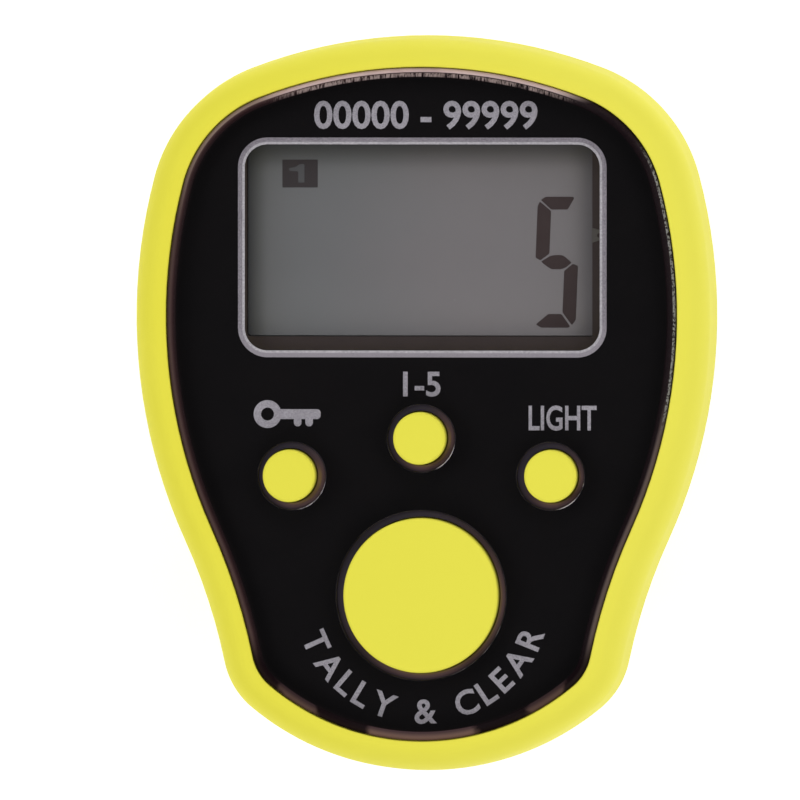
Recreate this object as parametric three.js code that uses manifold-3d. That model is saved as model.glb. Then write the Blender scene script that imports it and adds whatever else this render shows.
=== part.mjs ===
// Finger tally counter
// A hand counter that is worn on a finger. It lies face up, with +Z out of its face, +Y towards the
// display, and the flat of its silicone band on z = 0. All sizes are in millimetres.

import * as THREE from "three";
import { mergeVertices } from "three/addons/utils/BufferGeometryUtils.js";
import Module from "manifold-3d";

const wasm = await Module();
wasm.setup();

// Driving sizes of the case outline, half of it as tangent arcs from the top middle to the chin
const caseLength = 41;
const topRadius = 27.3;
const topTurn = 21;
const shoulderRadius = 8.8;
const shoulderTurn = 54.1;
const flankTurn = 39.3;
const waistRadius = 32.2;
const waistTurn = 12.65;
const hipRadius = 4.63;
const hipTurn = 38.55;
const stepAngle = 8;

// Driving sizes of the case in depth
const caseDepth = 11;
const partingHeight = 5.2;
const wall = 1.3;
const rearWall = 1.2;
const deckThickness = 1;
const rimWidth = 1.75;
const rimRoundWidth = 1.3;
const rimRoundHeight = 2.1;
const rearRoundWidth = 1.5;
const rearRoundHeight = 2.4;
const draftWidth = 0.15;
const partingBevel = 0.15;
const lipThickness = 0.7;
const lipHeight = 0.4;
const ribThickness = 0.8;

// Driving sizes of the face
const plateThickness = 1.05;
const plateProud = 0.15;
const plateBevel = 0.35;
const plateGap = 0.12;
const filmThickness = 0.1;
const filmMargin = 0.05;

// Driving sizes of the display
const windowWidth = 19.8;
const windowHeight = 11.42;
const windowY = 8.73;
const windowCorner = 1.25;
const windowMargin = 0.35;
const viewNarrower = 0.4;
const viewLower = 0.72;
const viewX = -0.14;
const viewShiftY = 0.39;
const viewCorner = 0.2;
const gasketThickness = 0.5;
const glassThickness = 0.55;
const filterThickness = 0.2;
const glassMargin = 0.7;
const glassLedge = 1.7;
const holderWall = 0.35;
const holderShelf = 0.4;
const stripWidth = 0.9;
const diodeWidth = 0.7;
const diodeLength = 1.6;

// Driving sizes of the buttons
const countRadius = 4.33;
const countY = -10.59;
const smallRadius = 1.49;
const channelY = -1.86;
const sideButtonX = 7.2;
const sideButtonY = -3.95;
const boreGap = 0.18;
const plateHoleGap = 0.45;
const capProud = 0.45;
const capEdge = 0.3;
const flangeWidth = 0.8;
const flangeThickness = 0.6;
const capSkirt = 0.9;
const capRoof = 1;
const postRadius = 1;
const travel = 0.3;

// Driving sizes of the board, switches and chip
const boardHeight = 4.9;
const boardThickness = 0.8;
const boardGap = 0.45;
const switchWidth = 3.7;
const switchHeight = 1.5;
const stemRadius = 0.8;
const stemHeight = 0.5;
const stemDepth = 0.5;
const chipRadius = 2.6;
const chipHeight = 1;
const chipY = 7.5;

// Driving sizes of the case screws
const screwHeadRadius = 1.35;
const screwHeadHeight = 1.1;
const screwShankRadius = 0.7;
const screwLength = 7;
const screwSink = 0.4;
const screwBevel = 0.34;
const screwPoint = 0.35;
const bossRadius = 1.5;
const rearPostRadius = 2;
const upperScrewY = 9.5;
const lowerScrewY = -6.8;

// Driving sizes of the battery and its door
const cellRadius = 5.8;
const cellHeight = 3.05;
const cellPad = 0.3;
const batteryY = -10.4;
const doorThickness = 0.9;
const neckWall = 0.8;
const lugDepth = 0.8;
const lugThickness = 0.6;
const lugAngle = 34;
const lugCount = 3;
const lugSlackAngle = 3;
const doorTurn = 50;
const fullTurn = 360;
const lipWall = 0.5;
const wellWall = 0.85;
const coinSlotLength = 9;
const coinSlotWidth = 1.6;
const coinSlotDepth = 0.5;
const leafThickness = 0.15;
const leafWidth = 2.4;
const leafTouch = 1.7;
const leafRamp = 1.15;

// Driving sizes of the finger strap and its fastening
const bandThickness = 1.2;
const bandWidth = 9;
const bandY = 0;
const fingerHeight = 14.8;
const bandFlat = 11;
const bandCorner = 7.5;
const tabCorner = 1.6;
const tabLength = 6.4;
const beadRadius = 1.1;
const beadDrop = 1.5;
const channelWall = 0.8;
const mouthFrom = 195;
const mouthTo = 310;
const pegRadius = 0.9;
const pegBevel = 0.27;
const pegX = 9.9;
const pegLength = 2;
const holePitch = 2.9;
const holeCount = 2;

// Named clearances
const seatGap = 0.3;
const slideGap = 0.15;
const glassGap = 0.1;
const beadGap = 0.2;
const pegGap = 0.35;
const cutOver = 1;

// Levels, worked out from the sizes above
const rearZ = bandThickness + fingerHeight + bandThickness + seatGap;
const partingZ = rearZ + partingHeight;
const rimZ = rearZ + caseDepth;
const plateTopZ = rimZ + plateProud;
const plateZ = plateTopZ - plateThickness;
const deckZ = plateZ - filmThickness;
const deckUnderZ = deckZ - deckThickness;
const boardZ = rearZ + boardHeight;
const boardTopZ = boardZ + boardThickness;
const glassTopZ = deckUnderZ - gasketThickness;
const frontGlassZ = glassTopZ - glassThickness;
const rearGlassZ = frontGlassZ - glassThickness;
const reflectorZ = rearGlassZ - filterThickness;
const switchTopZ = boardTopZ + switchHeight;
const stemTopZ = switchTopZ + stemHeight;
const flangeTopZ = deckUnderZ - glassGap;
const flangeZ = flangeTopZ - flangeThickness;
const capTopZ = plateTopZ + capProud;

// Materials
const yellowPlastic = { color: 0xe7e048, roughness: 0.5, metalness: 0 };
const capPlastic = { color: 0xe6de4b, roughness: 0.6, metalness: 0 };
const clearPlastic = { color: 0x2a2426, roughness: 0.08, metalness: 0 };
const blackInk = { color: 0x120f10, roughness: 0.4, metalness: 0 };
const displayGlass = { color: 0x6e6c6e, roughness: 0.15, metalness: 0 };
const greyFilter = { color: 0x5f6060, roughness: 0.3, metalness: 0 };
const silverFoil = { color: 0x969399, roughness: 0.35, metalness: 0.8 };
const blackRubber = { color: 0x1c1b1d, roughness: 0.8, metalness: 0 };
const whitePlastic = { color: 0xe8e6e0, roughness: 0.5, metalness: 0 };
const guidePlastic = { color: 0xe9f1ea, roughness: 0.2, metalness: 0 };
const greenBoard = { color: 0x1f5a36, roughness: 0.4, metalness: 0 };
const blackResin = { color: 0x131214, roughness: 0.35, metalness: 0 };
const brightSteel = { color: 0xb9bbbe, roughness: 0.3, metalness: 1 };
const goldPlate = { color: 0xcaa65a, roughness: 0.3, metalness: 1 };
const greySilicone = { color: 0x39383b, roughness: 0.7, metalness: 0 };

// Paths of lines and arcs. A positive turn is clockwise, and inset moves the path to its right.
function tracePath(start, moves, inset) {
  let heading = THREE.MathUtils.degToRad(start.heading);
  let x = start.x + inset * Math.sin(heading);
  let y = start.y - inset * Math.cos(heading);
  const points = [new THREE.Vector2(x, y)];
  for (const move of moves) {
    if (move.length !== undefined) {
      x += move.length * Math.cos(heading);
      y += move.length * Math.sin(heading);
      points.push(new THREE.Vector2(x, y));
      continue;
    }
    const side = Math.sign(move.turn);
    const radius = side * move.radius - inset;
    const centreX = x + radius * Math.sin(heading);
    const centreY = y - radius * Math.cos(heading);
    const turn = THREE.MathUtils.degToRad(move.turn);
    const steps = Math.ceil(Math.abs(move.turn) / stepAngle);
    for (let step = 1; step <= steps; step++) {
      const angle = heading - (turn * step) / steps;
      points.push(
        new THREE.Vector2(centreX - radius * Math.sin(angle), centreY + radius * Math.cos(angle)),
      );
    }
    heading -= turn;
    x = points.at(-1).x;
    y = points.at(-1).y;
  }
  return points;
}

const topMiddle = { x: 0, y: 0, heading: 0 };

// The chin is the last arc, of the radius that brings the outline back to the middle
function arcsWithFlank(flankRadius) {
  const arcs = [
    { radius: topRadius, turn: topTurn },
    { radius: shoulderRadius, turn: shoulderTurn },
    { radius: flankRadius, turn: flankTurn },
    { radius: waistRadius, turn: -waistTurn },
    { radius: hipRadius, turn: hipTurn },
  ];
  const chinTurn = 180 - arcs.reduce((sum, arc) => sum + arc.turn, 0);
  const chinStart = tracePath(topMiddle, arcs, 0).at(-1);
  const chinRadius = chinStart.x / Math.sin(THREE.MathUtils.degToRad(chinTurn));
  return [...arcs, { radius: chinRadius, turn: chinTurn }];
}

// The length grows evenly with the flank's radius, so the flank is the arc that makes up the length
const lengthWith = (flankRadius) => -tracePath(topMiddle, arcsWithFlank(flankRadius), 0).at(-1).y;
const lengthPerFlank = lengthWith(1) - lengthWith(0);
const outlineArcs = arcsWithFlank((caseLength - lengthWith(0)) / lengthPerFlank);

// The whole outline, anticlockwise from the top, moved inwards by inset
function outline(inset) {
  const right = tracePath({ ...topMiddle, y: caseLength / 2 }, outlineArcs, inset);
  right[0].x = 0;
  right.at(-1).x = 0;
  const left = right.map((point) => new THREE.Vector2(-point.x, point.y));
  return [...left, ...right.slice(1, -1).reverse()];
}

// Half the width of the outline across y, with the outline moved inwards by inset
function halfWidthAt(y, inset) {
  const right = outline(inset).filter((point) => point.x >= 0).sort((a, b) => b.y - a.y);
  const k = right.findIndex((point) => point.y <= y);
  const [above, below] = [right[k - 1], right[k]];
  return THREE.MathUtils.mapLinear(y, above.y, below.y, above.x, below.x);
}

// A closed solid through outlines at several levels, the lowest first
function loft(levels) {
  const rings = levels.map((level) => outline(level.inset));
  const count = rings[0].length;
  const positions = rings.flatMap((ring, k) => ring.flatMap((p) => [p.x, p.y, levels[k].z]));
  const index = [];
  for (let k = 0; k + 1 < rings.length; k++) {
    for (let i = 0; i < count; i++) {
      const a = k * count + i;
      const b = k * count + ((i + 1) % count);
      index.push(a, b, b + count, a, b + count, a + count);
    }
  }
  const top = (rings.length - 1) * count;
  for (const [a, b, c] of THREE.ShapeUtils.triangulateShape(rings[0], [])) index.push(c, b, a);
  for (const [a, b, c] of THREE.ShapeUtils.triangulateShape(rings.at(-1), [])) {
    index.push(top + a, top + b, top + c);
  }
  const geometry = new THREE.BufferGeometry();
  geometry.setAttribute("position", new THREE.Float32BufferAttribute(positions, 3));
  geometry.setIndex(index);
  return toSolid(geometry);
}

// Levels of a quarter round between two insets
function quarterRound(low, high, bulge, steps) {
  return Array.from({ length: steps + 1 }, (_, k) => {
    const angle = (k / steps) * (Math.PI / 2);
    const sine = Math.sin(angle);
    const cosine = Math.cos(angle);
    const across = bulge === "low" ? 1 - cosine : sine;
    const up = bulge === "low" ? sine : 1 - cosine;
    return {
      inset: low.inset + (high.inset - low.inset) * across,
      z: low.z + (high.z - low.z) * up,
    };
  });
}

// Between three.js geometries and solids
function signedVolume(positions, index) {
  let volume = 0;
  const corner = (i) => new THREE.Vector3().fromArray(positions, 3 * index[i]);
  for (let i = 0; i < index.length; i += 3) {
    volume += corner(i).dot(corner(i + 1).cross(corner(i + 2))) / 6;
  }
  return volume;
}

function toSolid(geometry) {
  const bare = geometry.clone();
  bare.deleteAttribute("normal");
  bare.deleteAttribute("uv");
  const merged = mergeVertices(bare, 1e-4);
  const all = merged.index.array;
  const index = [];
  for (let i = 0; i < all.length; i += 3) {
    const [a, b, c] = [all[i], all[i + 1], all[i + 2]];
    if (a !== b && b !== c && c !== a) index.push(a, b, c);
  }
  const positions = merged.attributes.position.array;
  if (signedVolume(positions, index) < 0) index.reverse();
  return new wasm.Manifold(
    new wasm.Mesh({
      numProp: 3,
      vertProperties: new Float32Array(positions),
      triVerts: new Uint32Array(index),
    }),
  );
}

function toGeometry(solid) {
  const mesh = solid.getMesh();
  const geometry = new THREE.BufferGeometry();
  geometry.setAttribute("position", new THREE.BufferAttribute(mesh.vertProperties, 3));
  geometry.setIndex(new THREE.BufferAttribute(mesh.triVerts, 1));
  geometry.computeVertexNormals();
  return geometry;
}

// Simple solids
function cylinder(radius, lowZ, highZ, x, y, sides = 40) {
  const geometry = new THREE.CylinderGeometry(radius, radius, highZ - lowZ, sides);
  geometry.rotateX(Math.PI / 2);
  geometry.translate(x, y, (lowZ + highZ) / 2);
  return toSolid(geometry);
}

// Sides of a round hole or button, fewer on a small one
function sidesOf(radius) {
  return radius > 2 * smallRadius ? 40 : 24;
}

function block(lowX, highX, lowY, highY, lowZ, highZ) {
  const geometry = new THREE.BoxGeometry(highX - lowX, highY - lowY, highZ - lowZ);
  geometry.translate((lowX + highX) / 2, (lowY + highY) / 2, (lowZ + highZ) / 2);
  return toSolid(geometry);
}

function roundedShape(width, height, corner) {
  const x = width / 2;
  const y = height / 2;
  const shape = new THREE.Shape();
  shape.absarc(x - corner, y - corner, corner, 0, Math.PI / 2);
  shape.absarc(corner - x, y - corner, corner, Math.PI / 2, Math.PI);
  shape.absarc(corner - x, corner - y, corner, Math.PI, Math.PI * 1.5);
  shape.absarc(x - corner, corner - y, corner, Math.PI * 1.5, Math.PI * 2);
  return shape;
}

function extrudeUp(shape, lowZ, highZ, x = 0, y = 0, curveSegments = 5) {
  const options = { depth: highZ - lowZ, bevelEnabled: false, curveSegments };
  const geometry = new THREE.ExtrudeGeometry(shape, options);
  geometry.translate(x, y, lowZ);
  return toSolid(geometry);
}

// A shape drawn in X and Z, extruded along Y about a middle
function extrudeAcross(shape, width, middleY, curveSegments = 12) {
  const options = { depth: width, bevelEnabled: false, curveSegments };
  const geometry = new THREE.ExtrudeGeometry(shape, options);
  geometry.rotateX(Math.PI / 2);
  geometry.translate(0, middleY + width / 2, 0);
  return toSolid(geometry);
}

// A profile of radius and height, turned about a vertical axis
function turned(profile, x, y, sides = 40) {
  const geometry = new THREE.LatheGeometry(profile.map(([r, z]) => new THREE.Vector2(r, z)), sides);
  geometry.rotateX(Math.PI / 2);
  geometry.translate(x, y, 0);
  return toSolid(geometry);
}

// A sector of a ring, drawn in the plane, with angles in degrees
function ringSector(innerRadius, outerRadius, fromDegrees, toDegrees, centre) {
  const from = THREE.MathUtils.degToRad(fromDegrees);
  const to = THREE.MathUtils.degToRad(toDegrees);
  const shape = new THREE.Shape();
  shape.absarc(centre.x, centre.y, outerRadius, from, to, false);
  shape.absarc(centre.x, centre.y, innerRadius, to, from, true);
  return shape;
}

// A strip of even thickness along a line of points in X and Z
function leafShape(points, thickness) {
  const normals = points.map((point, i) => {
    const before = points[Math.max(i - 1, 0)];
    const after = points[Math.min(i + 1, points.length - 1)];
    const along = new THREE.Vector2(after[0] - before[0], after[1] - before[1]).normalize();
    return new THREE.Vector2(-along.y, along.x);
  });
  const near = points.map(([x, z]) => new THREE.Vector2(x, z));
  const far = near.map((point, i) => point.clone().addScaledVector(normals[i], -thickness));
  return new THREE.Shape([...near, ...far.reverse()]);
}

// Button places
const buttons = [
  { name: "lock", x: -sideButtonX, y: sideButtonY, radius: smallRadius },
  { name: "channel", x: 0, y: channelY, radius: smallRadius },
  { name: "light", x: sideButtonX, y: sideButtonY, radius: smallRadius },
  { name: "count", x: 0, y: countY, radius: countRadius },
];

// Display places
const viewWidth = windowWidth - viewNarrower;
const viewHeight = windowHeight - viewLower;
const viewY = windowY + viewShiftY;
const glassHalf = windowWidth / 2 + glassMargin;
const glassLowY = windowY - windowHeight / 2 - glassLedge;
const glassHighY = windowY + windowHeight / 2 + glassMargin;
const rearGlassLowY = windowY - windowHeight / 2 - glassGap;
const pocketHalf = glassHalf - holderShelf;
const pocketLowY = glassLowY + holderShelf;
const pocketHighY = glassHighY - holderShelf;
const holderHalf = glassHalf + holderWall;

// Screw places: the upper pair stands beside the display holder, the lower pair beside the wall
const upperScrewX = holderHalf + seatGap + bossRadius;
const lowerScrewX = halfWidthAt(lowerScrewY, wall + seatGap) - bossRadius;
const screws = [
  { x: -upperScrewX, y: upperScrewY },
  { x: upperScrewX, y: upperScrewY },
  { x: -lowerScrewX, y: lowerScrewY },
  { x: lowerScrewX, y: lowerScrewY },
];
const shoulderZ = rearZ + screwSink + screwHeadHeight;
const screwTipZ = shoulderZ + screwLength;

// Battery door levels and radii
const neckInner = cellRadius + beadGap;
const neckOuter = neckInner + neckWall;
const lugOuter = neckOuter + lugDepth;
const doorRadius = lugOuter + glassGap;
const doorInnerZ = rearZ + doorThickness;
const recessZ = doorInnerZ + slideGap;
const lipTopZ = recessZ + lipWall;
const lugZ = lipTopZ + slideGap;
const lugTopZ = lugZ + lugThickness;
const cavityZ = lugTopZ + slideGap;
const wellInner = cellRadius + seatGap;
const wellOuter = lugOuter + slideGap + wellWall;
const wellTopZ = boardZ - seatGap;
const cellZ = doorInnerZ + cellPad;
const cellTopZ = cellZ + cellHeight;
const leafX = cellRadius + seatGap;

// Strap places
const beadX = -(bandFlat / 2 + bandCorner);
const beadZ = rearZ - beadDrop;
const channelInner = beadRadius + beadGap;
const channelOuter = channelInner + channelWall;
const tabMiddleZ = rearZ - seatGap - bandThickness / 2;

function cutAll(solid, cutters) {
  return cutters.reduce((rest, cutter) => rest.subtract(cutter), solid);
}

function joinAll(solids) {
  return solids.reduce((sum, solid) => sum.add(solid));
}

function frontHousing() {
  const roundStart = { inset: draftWidth, z: rimZ - rimRoundHeight };
  const roundEnd = { inset: draftWidth + rimRoundWidth, z: rimZ };
  const outer = loft([
    { inset: partingBevel, z: partingZ },
    { inset: 0, z: partingZ + partingBevel },
    ...quarterRound(roundStart, roundEnd, "low", 4),
  ]);
  const cavity = loft([
    { inset: wall, z: partingZ - cutOver },
    { inset: wall + draftWidth, z: deckUnderZ },
  ]);
  const recess = loft([
    { inset: rimWidth, z: deckZ },
    { inset: rimWidth, z: rimZ + cutOver },
  ]);
  const bosses = screws.map((s) =>
    cylinder(bossRadius, boardTopZ, deckUnderZ + slideGap, s.x, s.y, 20),
  );
  const ribLow = windowY - windowHeight / 2;
  const ribOuterX = holderHalf + slideGap + ribThickness;
  const ribOuterY = glassHighY + holderWall + slideGap + ribThickness;
  const ribs = block(
    -ribOuterX, ribOuterX, ribLow, ribOuterY, frontGlassZ, deckUnderZ + slideGap,
  );
  const ribRoom = block(
    ribThickness - ribOuterX, ribOuterX - ribThickness,
    ribLow - cutOver, ribOuterY - ribThickness,
    frontGlassZ - cutOver, deckUnderZ,
  );
  const shell = outer.subtract(cavity).subtract(recess);
  const inside = joinAll([...bosses, ribs.subtract(ribRoom)]).intersect(outer);
  const pilots = screws.map((s) =>
    cylinder(screwShankRadius + slideGap, boardTopZ - cutOver, screwTipZ + slideGap, s.x, s.y, 16),
  );
  const bores = buttons.map((b) =>
    cylinder(b.radius + boreGap, deckUnderZ - cutOver, deckZ + cutOver, b.x, b.y, sidesOf(b.radius)),
  );
  const flangeRooms = buttons.map((b) =>
    cylinder(b.radius + flangeWidth + slideGap, boardTopZ, deckUnderZ, b.x, b.y, 24),
  );
  const window = extrudeUp(
    roundedShape(
      windowWidth + 2 * windowMargin, windowHeight + 2 * windowMargin, windowCorner + windowMargin,
    ),
    deckUnderZ - cutOver, deckZ + cutOver, 0, windowY,
  );
  return cutAll(shell.add(cutAll(inside, flangeRooms)), [...pilots, ...bores, window]);
}

function backCover() {
  const rear = { inset: rearRoundWidth + draftWidth, z: rearZ };
  const side = { inset: draftWidth, z: rearZ + rearRoundHeight };
  const outer = loft([
    ...quarterRound(rear, side, "high", 4),
    { inset: 0, z: partingZ - partingBevel },
    { inset: partingBevel, z: partingZ },
  ]);
  const cavity = loft([
    { inset: wall + draftWidth, z: rearZ + rearWall },
    { inset: wall, z: partingZ + cutOver },
  ]);
  const ledgeLow = partingZ - lipHeight - lipThickness;
  const lip = loft([
    { inset: wall + slideGap, z: ledgeLow },
    { inset: wall + slideGap, z: partingZ + lipHeight },
  ]).add(loft([
    { inset: wall - slideGap, z: ledgeLow },
    { inset: wall - slideGap, z: partingZ - slideGap },
  ])).subtract(loft([
    { inset: wall + slideGap + lipThickness, z: ledgeLow - cutOver },
    { inset: wall + slideGap + lipThickness, z: partingZ + cutOver },
  ]));
  const posts = screws.map((s) =>
    cylinder(rearPostRadius, rearZ + slideGap, boardZ, s.x, s.y, 20).intersect(
      loft([{ inset: wall, z: rearZ }, { inset: wall, z: boardZ + cutOver }]),
    ),
  );
  const well = cylinder(wellOuter, rearZ, wellTopZ, 0, batteryY);
  const ribs = [-1, 1].map((sign) => {
    const middle = sign * windowWidth / 4;
    const low = batteryY + wellOuter;
    return block(
      middle - ribThickness / 2, middle + ribThickness / 2,
      low, glassHighY, rearZ + rearWall - glassGap, rearZ + rearWall + ribThickness,
    );
  });
  const body = joinAll([outer.subtract(cavity), lip, ...posts, well, ...ribs, strapChannel(), strapPeg()]);
  const bores = screws.flatMap((s) => [
    cylinder(screwHeadRadius + slideGap, rearZ - cutOver, shoulderZ, s.x, s.y, 20),
    cylinder(screwShankRadius + beadGap, rearZ, boardZ + cutOver, s.x, s.y, 16),
  ]);
  return cutAll(body, [...bores, doorRoom()]);
}

// The room for the bayonet door and the cell: recess, lip with its entry notches, cavity and well
function doorRoom() {
  const bore = (radius, low, high) => cylinder(radius, low, high, 0, batteryY);
  const notches = lugAngles(-doorTurn).map((angle) => {
    const half = lugAngle / 2 + lugSlackAngle;
    const shape = ringSector(
      neckInner, lugOuter + slideGap, angle - half, angle + half, new THREE.Vector2(),
    );
    return extrudeUp(shape, recessZ - slideGap, lipTopZ + slideGap, 0, batteryY, 4);
  });
  const leafSlot = block(
    neckInner - neckWall, leafX + neckWall, batteryY - leafWidth / 2 - seatGap,
    batteryY + leafWidth / 2 + seatGap, cavityZ - slideGap, wellTopZ + cutOver,
  );
  return joinAll([
    bore(doorRadius + slideGap, rearZ - cutOver, recessZ),
    bore(neckOuter + slideGap, recessZ - slideGap, lipTopZ + slideGap),
    bore(lugOuter + slideGap, lipTopZ, cavityZ),
    bore(wellInner, cavityZ - slideGap, wellTopZ + cutOver),
    leafSlot,
    ...notches,
  ]);
}

function lugAngles(turn) {
  return Array.from({ length: lugCount }, (_, k) => 90 + turn + (fullTurn * k) / lugCount);
}

function batteryDoor() {
  const neck = turned([
    [0, rearZ],
    [doorRadius - doorThickness / 4, rearZ],
    [doorRadius, rearZ + doorThickness / 4],
    [doorRadius, doorInnerZ],
    [neckOuter, doorInnerZ],
    [neckOuter, lugTopZ],
    [neckInner, lugTopZ],
    [neckInner, doorInnerZ],
    [cellRadius / 2, doorInnerZ],
    [cellRadius / 2, cellZ - glassGap],
    [0, cellZ - glassGap],
  ], 0, batteryY);
  const lugs = lugAngles(0).map((angle) => {
    const shape = ringSector(
      neckInner + neckWall / 2, lugOuter, angle - lugAngle / 2, angle + lugAngle / 2, new THREE.Vector2(),
    );
    return extrudeUp(shape, lugZ, lugTopZ, 0, batteryY, 4);
  });
  const slot = extrudeUp(
    roundedShape(coinSlotLength, coinSlotWidth, coinSlotWidth / 2 - glassGap),
    rearZ - cutOver, rearZ + coinSlotDepth, 0, batteryY,
  );
  return joinAll([neck, ...lugs]).subtract(slot);
}

function strapChannel() {
  const shape = ringSector(
    channelInner, channelOuter, mouthTo - fullTurn, mouthFrom, new THREE.Vector2(beadX, beadZ),
  );
  const saddle = block(
    beadX - channelOuter, beadX + channelOuter, bandY - bandWidth / 2, bandY + bandWidth / 2,
    beadZ, rearZ + rearWall / 2,
  ).subtract(extrudeAcross(
    new THREE.Shape().absarc(beadX, beadZ, channelInner, 0, Math.PI * 2), bandWidth + cutOver, bandY,
  ));
  const ceiling = loft([{ inset: wall, z: rearZ - beadDrop - cutOver }, { inset: wall, z: partingZ }]);
  const nearRear = saddle.intersect(ceiling);
  return extrudeAcross(shape, bandWidth, bandY).add(nearRear);
}

function strapPeg() {
  return turned([
    [0, rearZ - pegLength],
    [pegRadius - pegBevel, rearZ - pegLength],
    [pegRadius, rearZ - pegLength + pegBevel],
    [pegRadius, rearZ + rearWall / 2],
    [0, rearZ + rearWall / 2],
  ], pegX, bandY, 20);
}

function fingerStrap() {
  const start = { x: beadX, y: beadZ, heading: -90 };
  const sideLength = beadZ - bandCorner - bandThickness / 2;
  const riseLength = tabMiddleZ - tabCorner - bandCorner - bandThickness / 2;
  const moves = [
    { length: sideLength },
    { radius: bandCorner, turn: -90 },
    { length: bandFlat },
    { radius: bandCorner, turn: -90 },
    { length: riseLength },
    { radius: tabCorner, turn: -90 },
    { length: tabLength },
  ];
  const outside = tracePath(start, moves, bandThickness / 2);
  const inside = tracePath(start, moves, -bandThickness / 2);
  const band = extrudeAcross(new THREE.Shape([...outside, ...inside.reverse()]), bandWidth, bandY);
  const bead = new THREE.Shape().absarc(beadX, beadZ, beadRadius, 0, Math.PI * 2);
  const holes = Array.from({ length: holeCount }, (_, k) =>
    cylinder(
      pegRadius + pegGap, tabMiddleZ - bandThickness, tabMiddleZ + bandThickness,
      pegX - k * holePitch, bandY, 20,
    ),
  );
  return cutAll(band.add(extrudeAcross(bead, bandWidth, bandY)), holes);
}

function facePlate() {
  const inset = rimWidth + plateGap;
  const plate = loft([
    { inset, z: plateZ },
    { inset, z: plateTopZ - plateBevel },
    { inset: inset + plateBevel, z: plateTopZ },
  ]);
  const holes = buttons.map((b) =>
    cylinder(b.radius + plateHoleGap, plateZ - cutOver, plateTopZ + cutOver, b.x, b.y, sidesOf(b.radius)),
  );
  return cutAll(plate, holes);
}

function faceFilm() {
  const inset = rimWidth + plateGap + filmMargin;
  const film = loft([{ inset, z: deckZ }, { inset, z: plateZ }]);
  const holes = buttons.map((b) =>
    cylinder(b.radius + boreGap, deckZ - cutOver, plateZ + cutOver, b.x, b.y, sidesOf(b.radius)),
  );
  const window = extrudeUp(
    roundedShape(windowWidth, windowHeight, windowCorner),
    deckZ - cutOver, plateZ + cutOver, 0, windowY,
  );
  return cutAll(film, [...holes, window]);
}

// Trims a piece of the display to stay clear of the front housing's wall
function insideCase(solid) {
  const inset = wall + draftWidth + slideGap;
  return solid.intersect(loft([{ inset, z: boardZ }, { inset, z: rimZ }]));
}

function displayGasket() {
  const inner = extrudeUp(
    roundedShape(viewWidth, viewHeight, viewCorner),
    glassTopZ - cutOver, deckUnderZ + cutOver, viewX, viewY,
  );
  return insideCase(block(
    -glassHalf, glassHalf, glassLowY + glassLedge / 2, glassHighY, glassTopZ, deckUnderZ,
  )).subtract(inner);
}

function lcdHolder() {
  const outside = block(
    -holderHalf, holderHalf, glassLowY - holderWall, glassHighY + holderWall,
    boardTopZ, glassTopZ - glassGap,
  );
  const glassRoom = block(
    -glassHalf - glassGap, glassHalf + glassGap, glassLowY - glassGap, glassHighY + glassGap,
    frontGlassZ, glassTopZ + cutOver,
  );
  const pocket = block(
    -pocketHalf, pocketHalf, pocketLowY, pocketHighY, boardTopZ - cutOver, frontGlassZ + cutOver,
  );
  return insideCase(outside.subtract(glassRoom).subtract(pocket));
}

function lightGuide() {
  const half = pocketHalf - 2 * slideGap - diodeWidth;
  return block(
    -half, half, rearGlassLowY, pocketHighY - slideGap, boardTopZ, reflectorZ,
  );
}

function diode(sign) {
  const middleX = sign * (pocketHalf - slideGap - diodeWidth / 2);
  return block(
    middleX - diodeWidth / 2, middleX + diodeWidth / 2,
    windowY - diodeLength / 2, windowY + diodeLength / 2, boardTopZ, reflectorZ - seatGap,
  );
}

// The board, with a notch open to its edge for each screw
function circuitBoard() {
  const inset = wall + slideGap + lipThickness + boardGap;
  const board = loft([{ inset, z: boardZ }, { inset, z: boardTopZ }]);
  const radius = screwShankRadius + seatGap;
  const [low, high] = [boardZ - cutOver, boardTopZ + cutOver];
  const notches = screws.flatMap((s) => {
    const openX = s.x + Math.sign(s.x) * rearPostRadius;
    return [
      cylinder(radius, low, high, s.x, s.y, 16),
      block(Math.min(s.x, openX), Math.max(s.x, openX), s.y - radius, s.y + radius, low, high),
    ];
  });
  return cutAll(board, notches);
}

function chipBlob() {
  const steps = 5;
  const dome = Array.from({ length: steps + 1 }, (_, k) => {
    const angle = (k / steps) * (Math.PI / 2);
    return [chipRadius * Math.sin(angle), boardZ - chipHeight * Math.cos(angle)];
  });
  return turned([...dome, [0, boardZ]], 0, chipY, 24);
}

function switchBody(button) {
  const half = switchWidth / 2;
  return block(
    button.x - half, button.x + half, button.y - half, button.y + half, boardTopZ, switchTopZ,
  ).subtract(cylinder(
    stemRadius + slideGap, switchTopZ - stemDepth - travel - slideGap, switchTopZ + cutOver,
    button.x, button.y, 20,
  ));
}

function switchStem(button) {
  return cylinder(stemRadius, switchTopZ - stemDepth, stemTopZ, button.x, button.y, 20);
}

function buttonCap(button) {
  const hollow = button.radius - capSkirt > postRadius + capSkirt;
  const under = hollow
    ? [
        [postRadius, capTopZ - capRoof],
        [button.radius - capSkirt, capTopZ - capRoof],
        [button.radius - capSkirt, flangeZ],
      ]
    : [[postRadius, flangeZ]];
  const edgeSteps = 3;
  const edge = Array.from({ length: edgeSteps + 1 }, (_, k) => {
    const angle = (k / edgeSteps) * (Math.PI / 2);
    return [
      button.radius - capEdge * (1 - Math.cos(angle)),
      capTopZ - capEdge * (1 - Math.sin(angle)),
    ];
  });
  return turned([
    [0, stemTopZ],
    [postRadius, stemTopZ],
    ...under,
    [button.radius + flangeWidth, flangeZ],
    [button.radius + flangeWidth, flangeTopZ],
    [button.radius, flangeTopZ],
    ...edge,
    [0, capTopZ],
  ], button.x, button.y, sidesOf(button.radius));
}

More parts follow.
